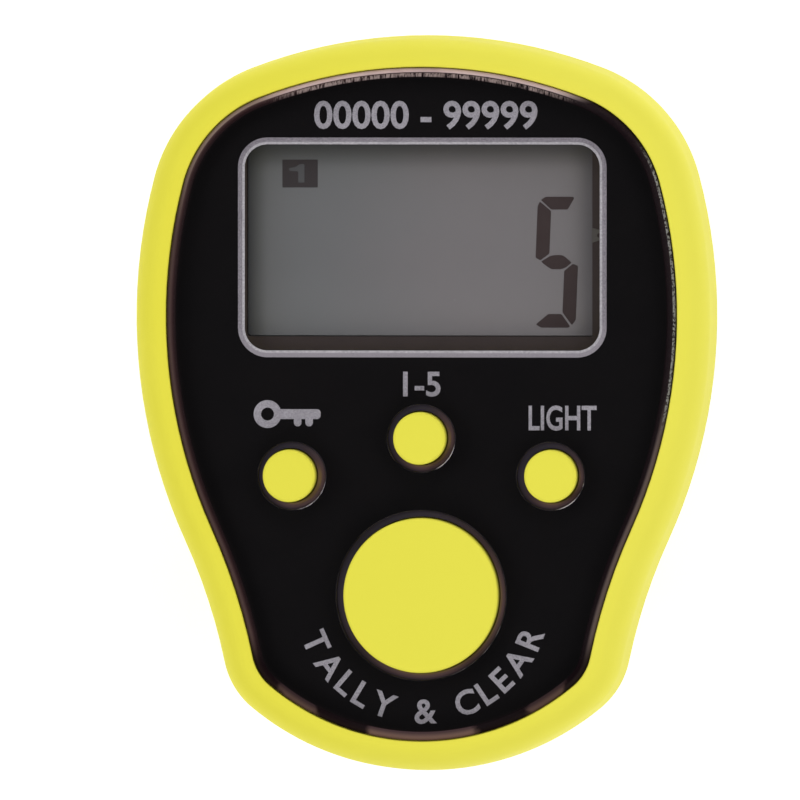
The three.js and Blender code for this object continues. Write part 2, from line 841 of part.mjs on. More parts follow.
function contactNegative() {
  const footX = cellRadius / 2;
  const touchX = leafTouch / 2;
  const bendX = touchX + leafRamp;
  const touchZ = cellTopZ + leafThickness;
  return extrudeAcross(leafShape([
    [-footX, boardZ], [-bendX, boardZ], [-touchX, touchZ],
    [touchX, touchZ], [bendX, boardZ], [footX, boardZ],
  ], leafThickness), leafWidth, batteryY);
}

function contactPositive() {
  const outerX = leafX + neckWall / 2;
  const middleZ = (cavityZ + wellTopZ) / 2;
  return extrudeAcross(leafShape([
    [outerX, cavityZ + slideGap], [cellRadius + glassGap, middleZ],
    [outerX, wellTopZ - slideGap], [outerX, boardZ], [outerX + leafWidth / 2, boardZ],
  ], leafThickness), leafWidth, batteryY);
}

function caseScrew(screw) {
  const headZ = rearZ + screwSink;
  return turned([
    [0, headZ],
    [screwHeadRadius - screwBevel, headZ],
    [screwHeadRadius, headZ + screwHeadHeight / 2],
    [screwHeadRadius, shoulderZ],
    [screwShankRadius, shoulderZ],
    [screwShankRadius, screwTipZ - 2 * screwPoint],
    [screwShankRadius - screwPoint, screwTipZ],
    [0, screwTipZ],
  ], screw.x, screw.y, 16);
}

// The assembly
const counter = new THREE.Group();

function add(name, solid, finish) {
  const mesh = new THREE.Mesh(toGeometry(solid), new THREE.MeshStandardMaterial(finish));
  mesh.name = name;
  counter.add(mesh);
}

add("front_housing", frontHousing(), yellowPlastic);
add("back_cover", backCover(), yellowPlastic);
add("face_plate", facePlate(), clearPlastic);
add("face_film", faceFilm(), blackInk);
add("display_gasket", displayGasket(), blackRubber);
add("front_filter", extrudeUp(
  roundedShape(viewWidth - glassGap, viewHeight - glassGap, viewCorner),
  glassTopZ, glassTopZ + filterThickness, viewX, viewY,
), greyFilter);
add("front_glass", insideCase(block(
  -glassHalf, glassHalf, glassLowY, glassHighY, frontGlassZ, glassTopZ,
)), displayGlass);
add("rear_glass", block(
  glassGap - pocketHalf, pocketHalf - glassGap, rearGlassLowY, pocketHighY - glassGap,
  rearGlassZ, frontGlassZ,
), displayGlass);
add("rear_reflector", block(
  slideGap - pocketHalf, pocketHalf - slideGap, rearGlassLowY, pocketHighY - slideGap,
  reflectorZ, rearGlassZ,
), silverFoil);
add("light_guide", lightGuide(), guidePlastic);
add("backlight_diode_left", diode(-1), whitePlastic);
add("backlight_diode_right", diode(1), whitePlastic);
add("display_holder", lcdHolder(), whitePlastic);
add("connector_strip", block(
  glassGap - pocketHalf, pocketHalf - glassGap, pocketLowY + glassGap, pocketLowY + glassGap + stripWidth,
  boardTopZ, frontGlassZ,
), blackRubber);
add("circuit_board", circuitBoard(), greenBoard);
add("chip_blob", chipBlob(), blackResin);
for (const button of buttons) {
  add(`${button.name}_switch`, switchBody(button), brightSteel);
  add(`${button.name}_stem`, switchStem(button), whitePlastic);
  add(`${button.name}_button`, buttonCap(button), capPlastic);
}
add("battery_cell", cylinder(cellRadius, cellZ, cellTopZ, 0, batteryY, 48), brightSteel);
add("contact_negative", contactNegative(), goldPlate);
add("contact_positive", contactPositive(), goldPlate);
screws.forEach((screw, k) => add(`case_screw_${k + 1}`, caseScrew(screw), brightSteel));
add("battery_door", batteryDoor(), yellowPlastic);
add("finger_strap", fingerStrap(), greySilicone);

export default counter;
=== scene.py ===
# %% [markdown]
# A finger tally counter, dressed in Blender.
#
# The counter is worn on a finger and counts at each press of its large button. Its frame, with
# every piece that moves or fastens, comes from the CAD model. This lesson models the pieces that
# show, the moulded case, the clear face, the caps and the band, and gives every piece a finish
# from nodes.

# %% Load the frame
import math

import bmesh
import bpy
from mathutils import Matrix, Vector


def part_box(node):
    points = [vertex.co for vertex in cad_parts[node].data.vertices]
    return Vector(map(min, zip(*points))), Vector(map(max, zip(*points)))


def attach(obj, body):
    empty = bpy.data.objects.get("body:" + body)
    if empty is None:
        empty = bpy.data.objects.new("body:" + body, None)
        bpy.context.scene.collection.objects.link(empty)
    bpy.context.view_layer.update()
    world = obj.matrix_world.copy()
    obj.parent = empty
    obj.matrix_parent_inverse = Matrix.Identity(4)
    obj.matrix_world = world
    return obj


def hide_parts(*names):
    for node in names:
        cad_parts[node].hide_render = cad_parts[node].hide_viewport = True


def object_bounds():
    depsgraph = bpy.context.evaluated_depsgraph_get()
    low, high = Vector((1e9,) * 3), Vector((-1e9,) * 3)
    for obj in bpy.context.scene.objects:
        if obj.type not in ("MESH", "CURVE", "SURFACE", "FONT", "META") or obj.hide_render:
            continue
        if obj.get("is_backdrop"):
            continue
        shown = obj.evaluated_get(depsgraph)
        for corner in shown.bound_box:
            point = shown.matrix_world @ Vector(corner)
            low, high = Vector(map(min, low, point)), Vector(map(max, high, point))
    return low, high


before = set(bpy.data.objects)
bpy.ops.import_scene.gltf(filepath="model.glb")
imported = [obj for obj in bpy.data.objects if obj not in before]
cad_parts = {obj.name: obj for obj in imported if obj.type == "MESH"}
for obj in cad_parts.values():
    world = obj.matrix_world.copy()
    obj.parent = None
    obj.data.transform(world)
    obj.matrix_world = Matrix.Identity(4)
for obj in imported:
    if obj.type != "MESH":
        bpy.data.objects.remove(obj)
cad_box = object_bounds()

# %% [markdown]
# Blender works in metres, but these pieces are a few millimetres across, and a number such as
# 0.00035 is easy to mistype. So each shape is drawn in millimetres and made smaller by a thousand
# when it is finished. The levels of the case are measured on the CAD nodes, so they can't drift
# away from it.

# %% Measure the frame in millimetres
MM = 0.001


def measured(node):
    low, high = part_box(node)
    return low / MM, high / MM


case_low, case_high = measured("front_housing")
film_low, film_high = measured("face_film")
board_low, board_high = measured("circuit_board")
screw_low, screw_high = measured("case_screw_1")
door_low, door_high = measured("battery_door")
rear_z = door_low.z
parting_z, rim_z = case_low.z, case_high.z
deck_z, plate_z = film_low.z, film_high.z
deck_under = measured("display_gasket")[1].z
plate_top = measured("face_plate")[1].z
CASE_LENGTH = case_high.y - case_low.y
print("case from", round(rear_z, 2), "to", round(rim_z, 2), "and", round(CASE_LENGTH, 2), "long")

# %% [markdown]
# The outline of the case is a row of arcs that run into each other without a corner: top,
# shoulder, flank, waist, hip and chin. It could be traced with many points, but arcs give a
# cleaner line, and they are what the toolmaker cuts. One vertex is spun round the centre of each
# arc in turn, which leaves the right half behind it, and a mirror gives the left half.

# %% The arcs of the outline
ARCS = [(27.3, 21), (8.8, 54.1), (30.41, 39.3), (32.2, -12.65), (4.63, 38.55)]
ARC_STEP = 2.0
BMVert, BMFace = bmesh.types.BMVert, bmesh.types.BMFace


def of_kind(items, kind):
    """Those of an operator's results that are vertices, or that are faces"""
    return [item for item in items if isinstance(item, kind)]


def spin_arcs(bm, start, inset=0.0):
    """Spins a vertex along each arc, to the right of its heading or, for a negative turn, to the
    left, and returns the last one"""
    tip, heading = bm.verts.new(start), 0.0
    for radius, turn in ARCS:
        reach = math.copysign(radius, turn) - inset
        sideways = Vector((math.sin(heading), -math.cos(heading), 0))
        spun = bmesh.ops.spin(
            bm, geom=[tip], cent=tip.co + reach * sideways, axis=(0, 0, 1),
            angle=-math.radians(turn), steps=max(2, round(abs(turn) / ARC_STEP)),
        )
        tip = of_kind(spun["geom_last"], BMVert)[0]
        heading -= math.radians(turn)
    return tip


def chin_arc():
    """The last arc, which brings the outline back to the middle"""
    bm = bmesh.new()
    turn = 180 - sum(turn for radius, turn in ARCS)
    radius = spin_arcs(bm, (0, 0, 0)).co.x / math.sin(math.radians(turn))
    bm.free()
    return radius, turn


ARCS.append(chin_arc())
print("chin radius", round(ARCS[-1][0], 2), "mm, turning", round(ARCS[-1][1], 2), "degrees")

# %% [markdown]
# A moulded shell is a stack of such outlines, each moved inwards by its own inset. The bridge
# operator joins each ring to the next, as a loft does in CAD, and a flat face closes each end.
# Insetting one face again and again would also work, but each ring would carry the errors of the
# one before it. The quarter round gives such a stack, or a profile, its rounded edges.

# %% Rings and lofts
WELD = 1e-4
AS_DRAWN = (1.0, 0.0)


def outline_ring(bm, inset, z, fit=AS_DRAWN):
    """One outline; its fit is a scale across the case and a shift along it"""
    before = set(bm.edges)
    spin_arcs(bm, (0, CASE_LENGTH / 2 - inset, z), inset).co.x = 0
    right = [edge for edge in bm.edges if edge not in before]
    verts = list({vert for edge in right for vert in edge.verts})
    bmesh.ops.scale(bm, vec=(fit[0], 1, 1), verts=verts)
    bmesh.ops.translate(bm, vec=(0, fit[1], 0), verts=verts)
    bmesh.ops.mirror(bm, geom=verts + right, axis="X", merge_dist=WELD)
    return [edge for edge in bm.edges if edge not in before]


def lofted(levels):
    """A closed solid through outlines from end to end, each given as (inset, z) or with a fit"""
    bm = bmesh.new()
    rings = [outline_ring(bm, *level) for level in levels]
    for near, far in zip(rings, rings[1:]):
        bmesh.ops.bridge_loops(bm, edges=near + far)
    for ring in (rings[0], rings[-1]):
        bmesh.ops.edgeloop_fill(bm, edges=ring)
    bmesh.ops.recalc_face_normals(bm, faces=bm.faces)
    return bm


def quarter_round(start, end, steps=10, rising=True):
    """Points of a quarter round that starts upright, or flat where it isn't rising"""
    points = []
    for step in range(steps + 1):
        angle = math.pi / 2 * step / steps
        late, early = 1 - math.cos(angle), math.sin(angle)
        across, up = (late, early) if rising else (early, late)
        points.append((
            start[0] + (end[0] - start[0]) * across, start[1] + (end[1] - start[1]) * up,
        ))
    return points

# %% [markdown]
# Holes, bosses and wells are simple solids that are joined to a shell or cut out of it. Each is
# drawn at its real place, so nothing has to be moved afterwards, and each helper returns its
# bmesh, so calls can be nested. A tool that cuts runs out past the face, because two faces in one
# plane would leave a thin skin.

# %% Simple solids
PAST = 1.0  # how far a cutting tool runs out past a face


def cylinder(bm, radius, low, high, x, y, segments=64):
    return rod(bm, radius, high - low, Matrix.Translation((x, y, (low + high) / 2)), segments)


def rod(bm, radius, length, place, segments):
    """A cylinder whose middle and direction a matrix gives"""
    bmesh.ops.create_cone(
        bm, cap_ends=True, segments=segments, radius1=radius, radius2=radius, depth=length,
        matrix=place,
    )
    return bm


def block(bm, low, high):
    low, high = Vector(low), Vector(high)
    place = Matrix.LocRotScale((low + high) / 2, None, high - low)
    bmesh.ops.create_cube(bm, size=1, matrix=place)
    return bm


def is_upright(edge):
    return abs(edge.verts[0].co.z - edge.verts[1].co.z) > WELD


def round_edges(bm, edges, width, segments):
    bmesh.ops.bevel(
        bm, geom=edges, offset=width, segments=segments, profile=0.5, affect="EDGES",
        material=-1, clamp_overlap=True,
    )
    return bm


def rounded_block(bm, size, low, high, x, y, segments=10):
    """A block; its size is its width, its height and the radius of its upright edges"""
    before = set(bm.edges)
    half = Vector((size[0], size[1], 0)) / 2
    block(bm, Vector((x, y, low)) - half, Vector((x, y, high)) + half)
    upright = [edge for edge in bm.edges if edge not in before and is_upright(edge)]
    return round_edges(bm, upright, size[2], segments)

# %% [markdown]
# The Boolean modifier joins or cuts two temporary objects, and its result comes straight back as a
# bmesh. The tools for one cut share one bmesh, because one Boolean with many separate shells is
# quicker and cleaner than many Booleans in a row.

# %% Booleans
def linked(name, data):
    """A new object in the scene"""
    thing = bpy.data.objects.new(name, data)
    bpy.context.scene.collection.objects.link(thing)
    return thing


def mesh_of(bm, name="temporary"):
    """Turns a bmesh into a mesh, and frees it"""
    mesh = bpy.data.meshes.new(name)
    bm.to_mesh(mesh)
    bm.free()
    return mesh


def pour(bm, target):
    """Moves all of one bmesh into another"""
    mesh = mesh_of(bm)
    target.from_mesh(mesh)
    bpy.data.meshes.remove(mesh)


def combined(bm, tool, operation, crossing):
    objects = []
    for solid in (bm, tool):
        bmesh.ops.recalc_face_normals(solid, faces=solid.faces)
        objects.append(linked("temporary", mesh_of(solid)))
    modifier = objects[0].modifiers.new("combine", "BOOLEAN")
    modifier.operation = operation
    modifier.solver = "EXACT"
    modifier.use_self = crossing
    modifier.object = objects[1]
    result = bmesh.new()
    result.from_object(objects[0], bpy.context.evaluated_depsgraph_get())
    for temporary in objects:
        bpy.data.meshes.remove(temporary.data)
    return result


def joined(bm, tool, crossing=False):
    """Both solids as one; crossing is for a tool in parts that run into each other"""
    return combined(bm, tool, "UNION", crossing)


def cut(bm, tool):
    return combined(bm, tool, "DIFFERENCE", False)

# %% [markdown]
# No edge of a moulding is truly sharp, and a small radius catches a line of light that tells the
# eye how large the thing is. The bevel operator rounds the edges that turn by more than a given
# angle. A finished piece is welded and its faces are turned outwards. The operator for that can
# guess wrongly on a piece with a wide flange, so the sign of the volume has the last word. Smooth
# shading stops at the edges that stay sharp.

# %% Softened edges and finished pieces
SHARP = math.radians(32)
pieces = {}


def soften(bm, width, segments, where):
    """Rounds those of the sharp edges that a test picks"""
    sharp = [
        edge for edge in bm.edges
        if len(edge.link_faces) == 2 and edge.calc_face_angle(0) > SHARP and where(edge)
    ]
    return round_edges(bm, sharp, width, segments)


def finished(bm, name, body, slot, *replaced):
    """Makes a piece of a bmesh drawn in millimetres, and sets it on its CAD body"""
    bmesh.ops.remove_doubles(bm, verts=bm.verts, dist=WELD)
    bmesh.ops.recalc_face_normals(bm, faces=bm.faces)
    if bm.calc_volume(signed=True) < 0:
        bmesh.ops.reverse_faces(bm, faces=bm.faces)
    volume = bm.calc_volume()
    open_edges = sum(len(edge.link_faces) != 2 for edge in bm.edges)
    bmesh.ops.scale(bm, vec=(MM, MM, MM), verts=bm.verts)
    mesh = mesh_of(bm, name)
    mesh.shade_smooth()
    mesh.set_sharp_from_angle(angle=SHARP)
    piece = pieces[name] = linked(name, mesh)
    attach(piece, body)
    if replaced:
        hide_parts(*replaced)
    print(name, len(mesh.polygons), "faces,", round(volume, 2), "mm3,", open_edges, "open edges")
    return piece

# %% [markdown]
# The four caps sit in bores of the deck, above their switches. Each place and radius is read from
# the CAD cap, whose box is wider than the part that shows by its hidden flange. Loose caps never
# sit in the exact middle, so three of them get a little play to one side.

# %% Places of the buttons and screws
FLANGE_WIDTH = 0.8
CAP_PLAY = {"lock": -0.13, "channel": -0.07, "light": 0.02, "count": 0.0}


def button_place(name):
    low, high = measured(f"{name}_button")
    middle = (low + high) / 2
    return middle.x, middle.y, (high.x - low.x) / 2 - FLANGE_WIDTH


BUTTONS = {name: button_place(name) for name in CAP_PLAY}
SCREWS = [sum(measured(f"case_screw_{number}"), Vector()) / 2 for number in range(1, 5)]
for name, (x, y, radius) in BUTTONS.items():
    print(name, "cap at", round(x, 2), round(y, 2), "radius", round(radius, 2))

# %% [markdown]
# The front housing is one moulding: a wall that is split from the back cover by a fine groove, a
# rounded rim, and a sunken deck that carries the clear face. One loft runs from the roof of the
# cavity down the inside, out under the edge, up the outside, over the rim and down to the deck, so
# the wall has its true thickness everywhere.

# %% Front housing
WALL = 1.3
DRAFT = 0.15
BELT_BEVEL = 0.15
RIM_WIDTH = 1.75
RIM_ROUND = (1.3, 2.1)
RIM_EDGE = 0.05
SUNK = (0.988, 0.03)
SLIDE_GAP = 0.15
BORE_GAP = 0.18
BOSS_RADIUS = 1.5
SHANK_RADIUS = 0.7
RIB = 0.8
DECK_WINDOW = (20.5, 12.12, 1.6)
WINDOW_Y = 8.73


def at_screws(bm, radius, low, high, segments):
    """A cylinder at each case screw"""
    for x, y, z in SCREWS:
        cylinder(bm, radius, low, high, x, y, segments)


def front_shell():
    return lofted([
        (WALL + DRAFT, deck_under),
        (WALL, parting_z),
        (BELT_BEVEL, parting_z),
        (0, parting_z + BELT_BEVEL),
        *quarter_round((DRAFT, rim_z - RIM_ROUND[1]), (DRAFT + RIM_ROUND[0], rim_z)),
        (RIM_WIDTH - RIM_EDGE, rim_z, SUNK),
        (RIM_WIDTH, rim_z - RIM_EDGE, SUNK),
        (RIM_WIDTH, deck_z, SUNK),
    ])


def front_insides():
    """Screw bosses, and the ribs that hold the display"""
    tools = bmesh.new()
    roof = deck_under + SLIDE_GAP
    at_screws(tools, BOSS_RADIUS, board_high.z, roof, 40)
    rib_low = measured("front_glass")[0].z
    holder = measured("display_holder")[1]
    side, top = holder.x + SLIDE_GAP, holder.y + SLIDE_GAP
    bottom = WINDOW_Y - DECK_WINDOW[1] / 2
    for left, right, low in (
        (-side - RIB, -side, bottom), (side, side + RIB, bottom), (-holder.x, holder.x, top),
    ):
        block(tools, (left, low, rib_low), (right, top + RIB, roof))
    return tools


def front_cuts():
    tools = bmesh.new()
    at_screws(tools, SHANK_RADIUS + SLIDE_GAP, board_high.z - PAST, screw_high.z + SLIDE_GAP, 32)
    for x, y, radius in BUTTONS.values():
        cylinder(tools, radius + BORE_GAP, deck_under - PAST, deck_z + PAST, x, y, 96)
    return rounded_block(tools, DECK_WINDOW, deck_under - PAST, deck_z + PAST, 0, WINDOW_Y)


housing = cut(joined(front_shell(), front_insides(), crossing=True), front_cuts())
finished(housing, "housing_shell", "case", "yellow_plastic", "front_housing")

# %% [markdown]
# The back cover is the other half of the case. It is lofted from its flat rear face up the rounded
# side, over the lip that locates it in the front housing, and down to the floor inside. The screw
# posts, the battery well, the hook and the peg for the band are joined on, and then the screw
# wells and the stepped room of the battery door are cut.

# %% Back cover shell
REAR_ROUND = (1.5, 2.4)
REAR_WALL = 1.2
LIP_THICKNESS = 0.7
LIP_HEIGHT = 0.4
in_rear_wall = rear_z + REAR_WALL / 2


def rear_shell():
    lip = WALL + SLIDE_GAP
    lip_top = parting_z + LIP_HEIGHT
    ledge = parting_z - LIP_HEIGHT - LIP_THICKNESS
    return lofted([
        *quarter_round(
            (REAR_ROUND[0] + DRAFT, rear_z), (DRAFT, rear_z + REAR_ROUND[1]), rising=False,
        ),
        (0, parting_z - BELT_BEVEL),
        (BELT_BEVEL, parting_z),
        (lip, parting_z),
        (lip, lip_top),
        (lip + LIP_THICKNESS, lip_top),
        (lip + LIP_THICKNESS, ledge),
        (WALL + DRAFT, ledge - LIP_THICKNESS),
        (WALL + DRAFT, rear_z + REAR_WALL),
    ])

# %% [markdown]
# Round and bent solids come from the spin operator. Primitives could be stacked for them, but a
# profile that is spun a full turn holds every step of a stepped hole at once, and a face that is
# spun part of a turn leaves a bent piece with both ends closed.

# %% Spun solids
UP, ALONG = Vector((0, 0, 1)), Vector((0, 1, 0))


def turned(bm, profile, x, y, steps=72):
    """Turns a line of (radius, height) points, closed at both ends, round an upright axis"""
    verts = [bm.verts.new((x + radius, y, z)) for radius, z in profile]
    edges = [bm.edges.new(pair) for pair in zip(verts, verts[1:])]
    before = set(bm.verts) - set(verts)
    bmesh.ops.spin(
        bm, geom=verts + edges, cent=(x, y, 0), axis=UP, angle=math.tau, steps=steps,
        use_merge=True,
    )
    made = [vert for vert in bm.verts if vert not in before]
    bmesh.ops.remove_doubles(bm, verts=made, dist=WELD)
    return bm


def drawn_face(bm, corners):
    return bm.faces.new([bm.verts.new(corner) for corner in corners])


def spin_face(bm, face, centre, axis, angle, steps, climb=(0, 0, 0)):
    """Spins a face, which leaves a solid behind it, and returns the face at the end"""
    spun = bmesh.ops.spin(
        bm, geom=[face, *face.edges, *face.verts], cent=centre, axis=axis, angle=angle,
        steps=steps, dvec=climb,
    )
    return of_kind(spun["geom_last"], BMFace)[0]


def ring_part(bm, centre, axis, out, radii, levels, angle, steps):
    """Part of a ring: a rectangle that lies outwards of an axis, spun round it"""
    (inner, outer), (low, high) = radii, levels
    corners = [centre + out * radius + axis * level for radius, level in
               ((inner, low), (outer, low), (outer, high), (inner, high))]
    spin_face(bm, drawn_face(bm, corners), centre, axis, angle, steps)
    return bm

# %% [markdown]
# The band is held by a hook that is open on one side, so the bead on the band's end snaps in, and
# by a peg that a hole in the other end goes over. The hook is a small rectangle spun round the
# bead's axis, which runs along the case.

# %% Hook and peg
strap_low, strap_high = measured("finger_strap")
BEAD = Vector((-13.0, 0.0, 16.0))
BAND_WIDTH = strap_high.y - strap_low.y
HOOK_INNER = 1.3
HOOK_OUTER = 2.1
HOOK_FROM, HOOK_TO = math.radians(-50), math.radians(195)
HOOK_EDGE = 0.15
PEG_X = 9.9
PEG_RADIUS = 0.9
PEG_LENGTH = 2.0
PEG_BEVEL = 0.27


def bead_rod(radius, length, segments):
    """A rod on the bead's axis"""
    place = Matrix.Translation(BEAD) @ Matrix.Rotation(math.pi / 2, 4, "X")
    return rod(bmesh.new(), radius, length, place, segments)


def hook_solid():
    """The hook, and its foot, which is hollowed for the bead"""
    half = BAND_WIDTH / 2
    out = Vector((math.cos(HOOK_FROM), 0, math.sin(HOOK_FROM)))
    hook = ring_part(bmesh.new(), BEAD, ALONG, out, (HOOK_INNER, HOOK_OUTER), (-half, half),
                     HOOK_FROM - HOOK_TO, 40)
    foot = block(bmesh.new(), (BEAD.x - HOOK_INNER, -half, BEAD.z),
                 (BEAD.x + HOOK_OUTER, half, in_rear_wall))
    hook = joined(hook, cut(foot, bead_rod(HOOK_INNER, BAND_WIDTH + 2 * PAST, 64)))
    return soften(hook, HOOK_EDGE, 3, lambda edge: max(vert.co.z for vert in edge.verts) < rear_z)


def peg(bm):
    tip = rear_z - PEG_LENGTH
    edge = quarter_round(
        (PEG_RADIUS - PEG_BEVEL, tip), (PEG_RADIUS, tip + PEG_BEVEL), 3, rising=False,
    )
    turned(bm, [(0, tip), *edge, (PEG_RADIUS, in_rear_wall), (0, in_rear_wall)], PEG_X, 0, 40)

# %% [markdown]
# The battery door turns in a stepped hole, as a bayonet does: a recess for the disc, a lip with a
# notch for each lug, a wider room where the lugs turn, and the well for the cell. The mouths of
# the holes have a small flare, which is drawn into the profile of the cutting tool, so the edge is
# round the moment that it is cut.

# %% Cuts of the back cover
DOOR_X, DOOR_Y = 0.0, (door_low.y + door_high.y) / 2
DOOR_RADIUS = (door_high.x - door_low.x) / 2
DOOR_THICKNESS = 0.9
DOOR_TURN = 50
NECK_OUTER = 6.8
LUG_OUTER = 7.6
LUG_THICKNESS = 0.6
LUG_ANGLES = (90, 210, 330)
LUG_ANGLE = 34
LUG_SLACK = 3
WELL_INNER = 6.1
WELL_WALL = 0.85
POST_RADIUS = 2.0
PILOT_RADIUS = 0.9
HEAD_WELL = 1.5
HEAD_HEIGHT = 1.1
FLARE = 0.15
OVERLAP = 0.1
lug_top = door_high.z
lug_low = lug_top - LUG_THICKNESS
door_inner = rear_z + DOOR_THICKNESS
recess_z = door_inner + SLIDE_GAP
lip_z = lug_low - SLIDE_GAP
well_top = board_low.z - 0.3


def flared_hole(bm, radius, mouth, end, x, y, flare=FLARE, steps=72):
    """A cutting tool from mouth to end, wider at its mouth, where it runs out past the face"""
    way = math.copysign(1, end - mouth)
    edge = quarter_round((radius + flare, mouth), (radius, mouth + way * flare), 4, rising=False)
    outside = mouth - way * PAST
    profile = [(0, outside), (radius + flare, outside), *edge, (radius, end), (0, end)]
    turned(bm, profile, x, y, steps)


def lug_sectors(inner, outer, low, high, turn, width):
    """A sector of a ring round the door's axis at each lug, turned by an angle in degrees"""
    bm = bmesh.new()
    for angle in LUG_ANGLES:
        start = math.radians(angle + turn - width / 2)
        ring_part(
            bm, Vector((DOOR_X, DOOR_Y, 0)), UP, Vector((math.cos(start), math.sin(start), 0)),
            (inner, outer), (low, high), math.radians(width), 12,
        )
    return bm


def rear_joins():
    tools = bmesh.new()
    at_screws(tools, POST_RADIUS, in_rear_wall, board_low.z, 48)
    cylinder(tools, LUG_OUTER + SLIDE_GAP + WELL_WALL, in_rear_wall, well_top, DOOR_X, DOOR_Y, 96)
    peg(tools)
    return tools


def rear_cuts():
    tools = bmesh.new()
    shoulder = screw_low.z + HEAD_HEIGHT
    for x, y, z in SCREWS:
        flared_hole(tools, HEAD_WELL, rear_z, shoulder, x, y, steps=48)
        cylinder(tools, PILOT_RADIUS, shoulder - 2 * OVERLAP, board_low.z + PAST, x, y, 32)
    return tools


def door_room():
    disc, neck, lugs = DOOR_RADIUS + SLIDE_GAP, NECK_OUTER + SLIDE_GAP, LUG_OUTER + SLIDE_GAP
    room_top = lug_top + SLIDE_GAP
    profile = [
        (0, rear_z - PAST), (disc + FLARE, rear_z - PAST), (disc + FLARE, rear_z),
        (disc, rear_z + FLARE), (disc, recess_z), (neck, recess_z), (neck, lip_z), (lugs, lip_z),
        (lugs, room_top), (WELL_INNER, room_top), (WELL_INNER, well_top + PAST),
        (0, well_top + PAST),
    ]
    notches = lug_sectors(NECK_OUTER - 3 * OVERLAP, lugs, recess_z - OVERLAP, lip_z + OVERLAP,
                          -DOOR_TURN, LUG_ANGLE + 2 * LUG_SLACK)
    return joined(turned(bmesh.new(), profile, DOOR_X, DOOR_Y, 96), notches)


cover = joined(joined(rear_shell(), rear_joins()), hook_solid())
cover = cut(cut(cover, rear_cuts()), door_room())
finished(cover, "cover_shell", "case", "yellow_plastic", "back_cover")

# %% [markdown]
# The clear face is a polished plate about a millimetre thick in the sunken deck. Its print is on
# the underside, so the black looks deep and wet. Its upper edge has a ground bevel with a finish
# of its own, and so have the walls of the holes and the underside, which is bonded to the print.
# The finishes of the bevel and of the hole walls carry painted reflections and painted highlights.

# %% Clear face
PLATE_INSET = RIM_WIDTH + 0.05
PLATE_BEVEL = (0.45, 0.35)
PLATE_EDGE = 0.05
HOLE_GAP = 0.38
HOLE_FLARE = 0.05
PRINT_ROOM = 0.03
under_z = plate_z + PRINT_ROOM


def plate_solid():
    bm = lofted([
        (PLATE_INSET, under_z, SUNK),
        (PLATE_INSET, plate_top - PLATE_BEVEL[1], SUNK),
        (PLATE_INSET + PLATE_BEVEL[0], plate_top, SUNK),
    ])
    return soften(bm, PLATE_EDGE, 2, lambda edge: edge.verts[0].co.z > under_z + WELD)


def plate_holes():
    tools = bmesh.new()
    for x, y, radius in BUTTONS.values():
        flared_hole(tools, radius + HOLE_GAP, plate_top, under_z - PAST, x, y, HOLE_FLARE, 96)
    return tools


plate = cut(plate_solid(), plate_holes())
plate = finished(plate, "clear_face", "case", "clear_plate", "face_plate")

# %% [markdown]
# The print behind the clear face is a black film with a hole for each cap and a window for the
# display. The silver line and the signs are printed too, each as a very thin layer of ink. A
# texture could paint them, but thin solids keep crisp edges at any size.

# %% Printed film
WINDOW = (19.8, 11.42, 1.25)
FILM_INSET = PLATE_INSET + 0.03
FILM_GAP = 0.04
FADE = 0.75


def film_solid():
    levels = [(FILM_INSET, deck_z), (FILM_INSET, plate_z), (FILM_INSET + FADE, plate_z)]
    return lofted([(*level, SUNK) for level in levels])


def film_holes():
    tools = bmesh.new()
    low, high = deck_z - PAST, plate_z + PAST
    for name, (x, y, radius) in BUTTONS.items():
        cylinder(tools, radius + FILM_GAP, low, high, x + CAP_PLAY[name], y, 96)
    return rounded_block(tools, WINDOW, low, high, 0, WINDOW_Y, 16)


def mark_edge(film):
    """Stores 1 for the vertices on the film's outer edge, which its finish tints red"""
    ring = bmesh.new()
    outline_ring(ring, FILM_INSET, 0, SUNK)
    outer = {(round(vert.co.x, 2), round(vert.co.y, 2)) for vert in ring.verts}
    ring.free()
    edge = film.data.attributes.new("edge", "FLOAT", "POINT")
    for vert in film.data.vertices:
        spot = (round(vert.co.x / MM, 2), round(vert.co.y / MM, 2))
        edge.data[vert.index].value = 1.0 if spot in outer else 0.0
    print(sum(value.value for value in edge.data), "vertices on the edge of the print")


film = cut(film_solid(), film_holes())
mark_edge(finished(film, "printed_film", "case", "black_film", "face_film"))

# %% [markdown]
# The silver line is a frame of even width with rounded corners. Its inner edge is brighter, so
# the line is made of two frames, one inside the other.

# %% Silver line round the display
LINE_OUTER = (20.53, 12.22, 1.65)
LINE_BODY = 0.24
LINE_TOTAL = 0.38
INK = 0.012


def smaller(size, inset):
    across, up, corner = size
    return across - 2 * inset, up - 2 * inset, corner - inset


def frame_line(name, size, width, thickness):
    """A frame with round corners and even width"""
    line = rounded_block(bmesh.new(), size, plate_z, plate_z + thickness, 0, WINDOW_Y, 16)
    inside = smaller(size, width)
    hole = rounded_block(bmesh.new(), inside, plate_z - PAST, plate_z + PAST, 0, WINDOW_Y, 16)
    finished(cut(line, hole), name, "case", "reflector")


frame_line("display_line", LINE_OUTER, LINE_BODY, INK)
frame_line("display_line_edge", smaller(LINE_OUTER, LINE_BODY), LINE_TOTAL - LINE_BODY, 1.5 * INK)

# %% [markdown]
# The signs tell what each button does. Blender's own font gives the letters: a text curve is made
# a mesh at its real height and set in place. On the curved legend each letter is placed by itself
# on a circle round the large button, and the space between two letters is the same everywhere.

# %% Letters
FONT_HEIGHT = 0.682
LETTER_WELD = 0.004
LETTER_WEIGHT = 0.035
LETTER_SPACE = 0.24
WORD_SPACE = 0.62


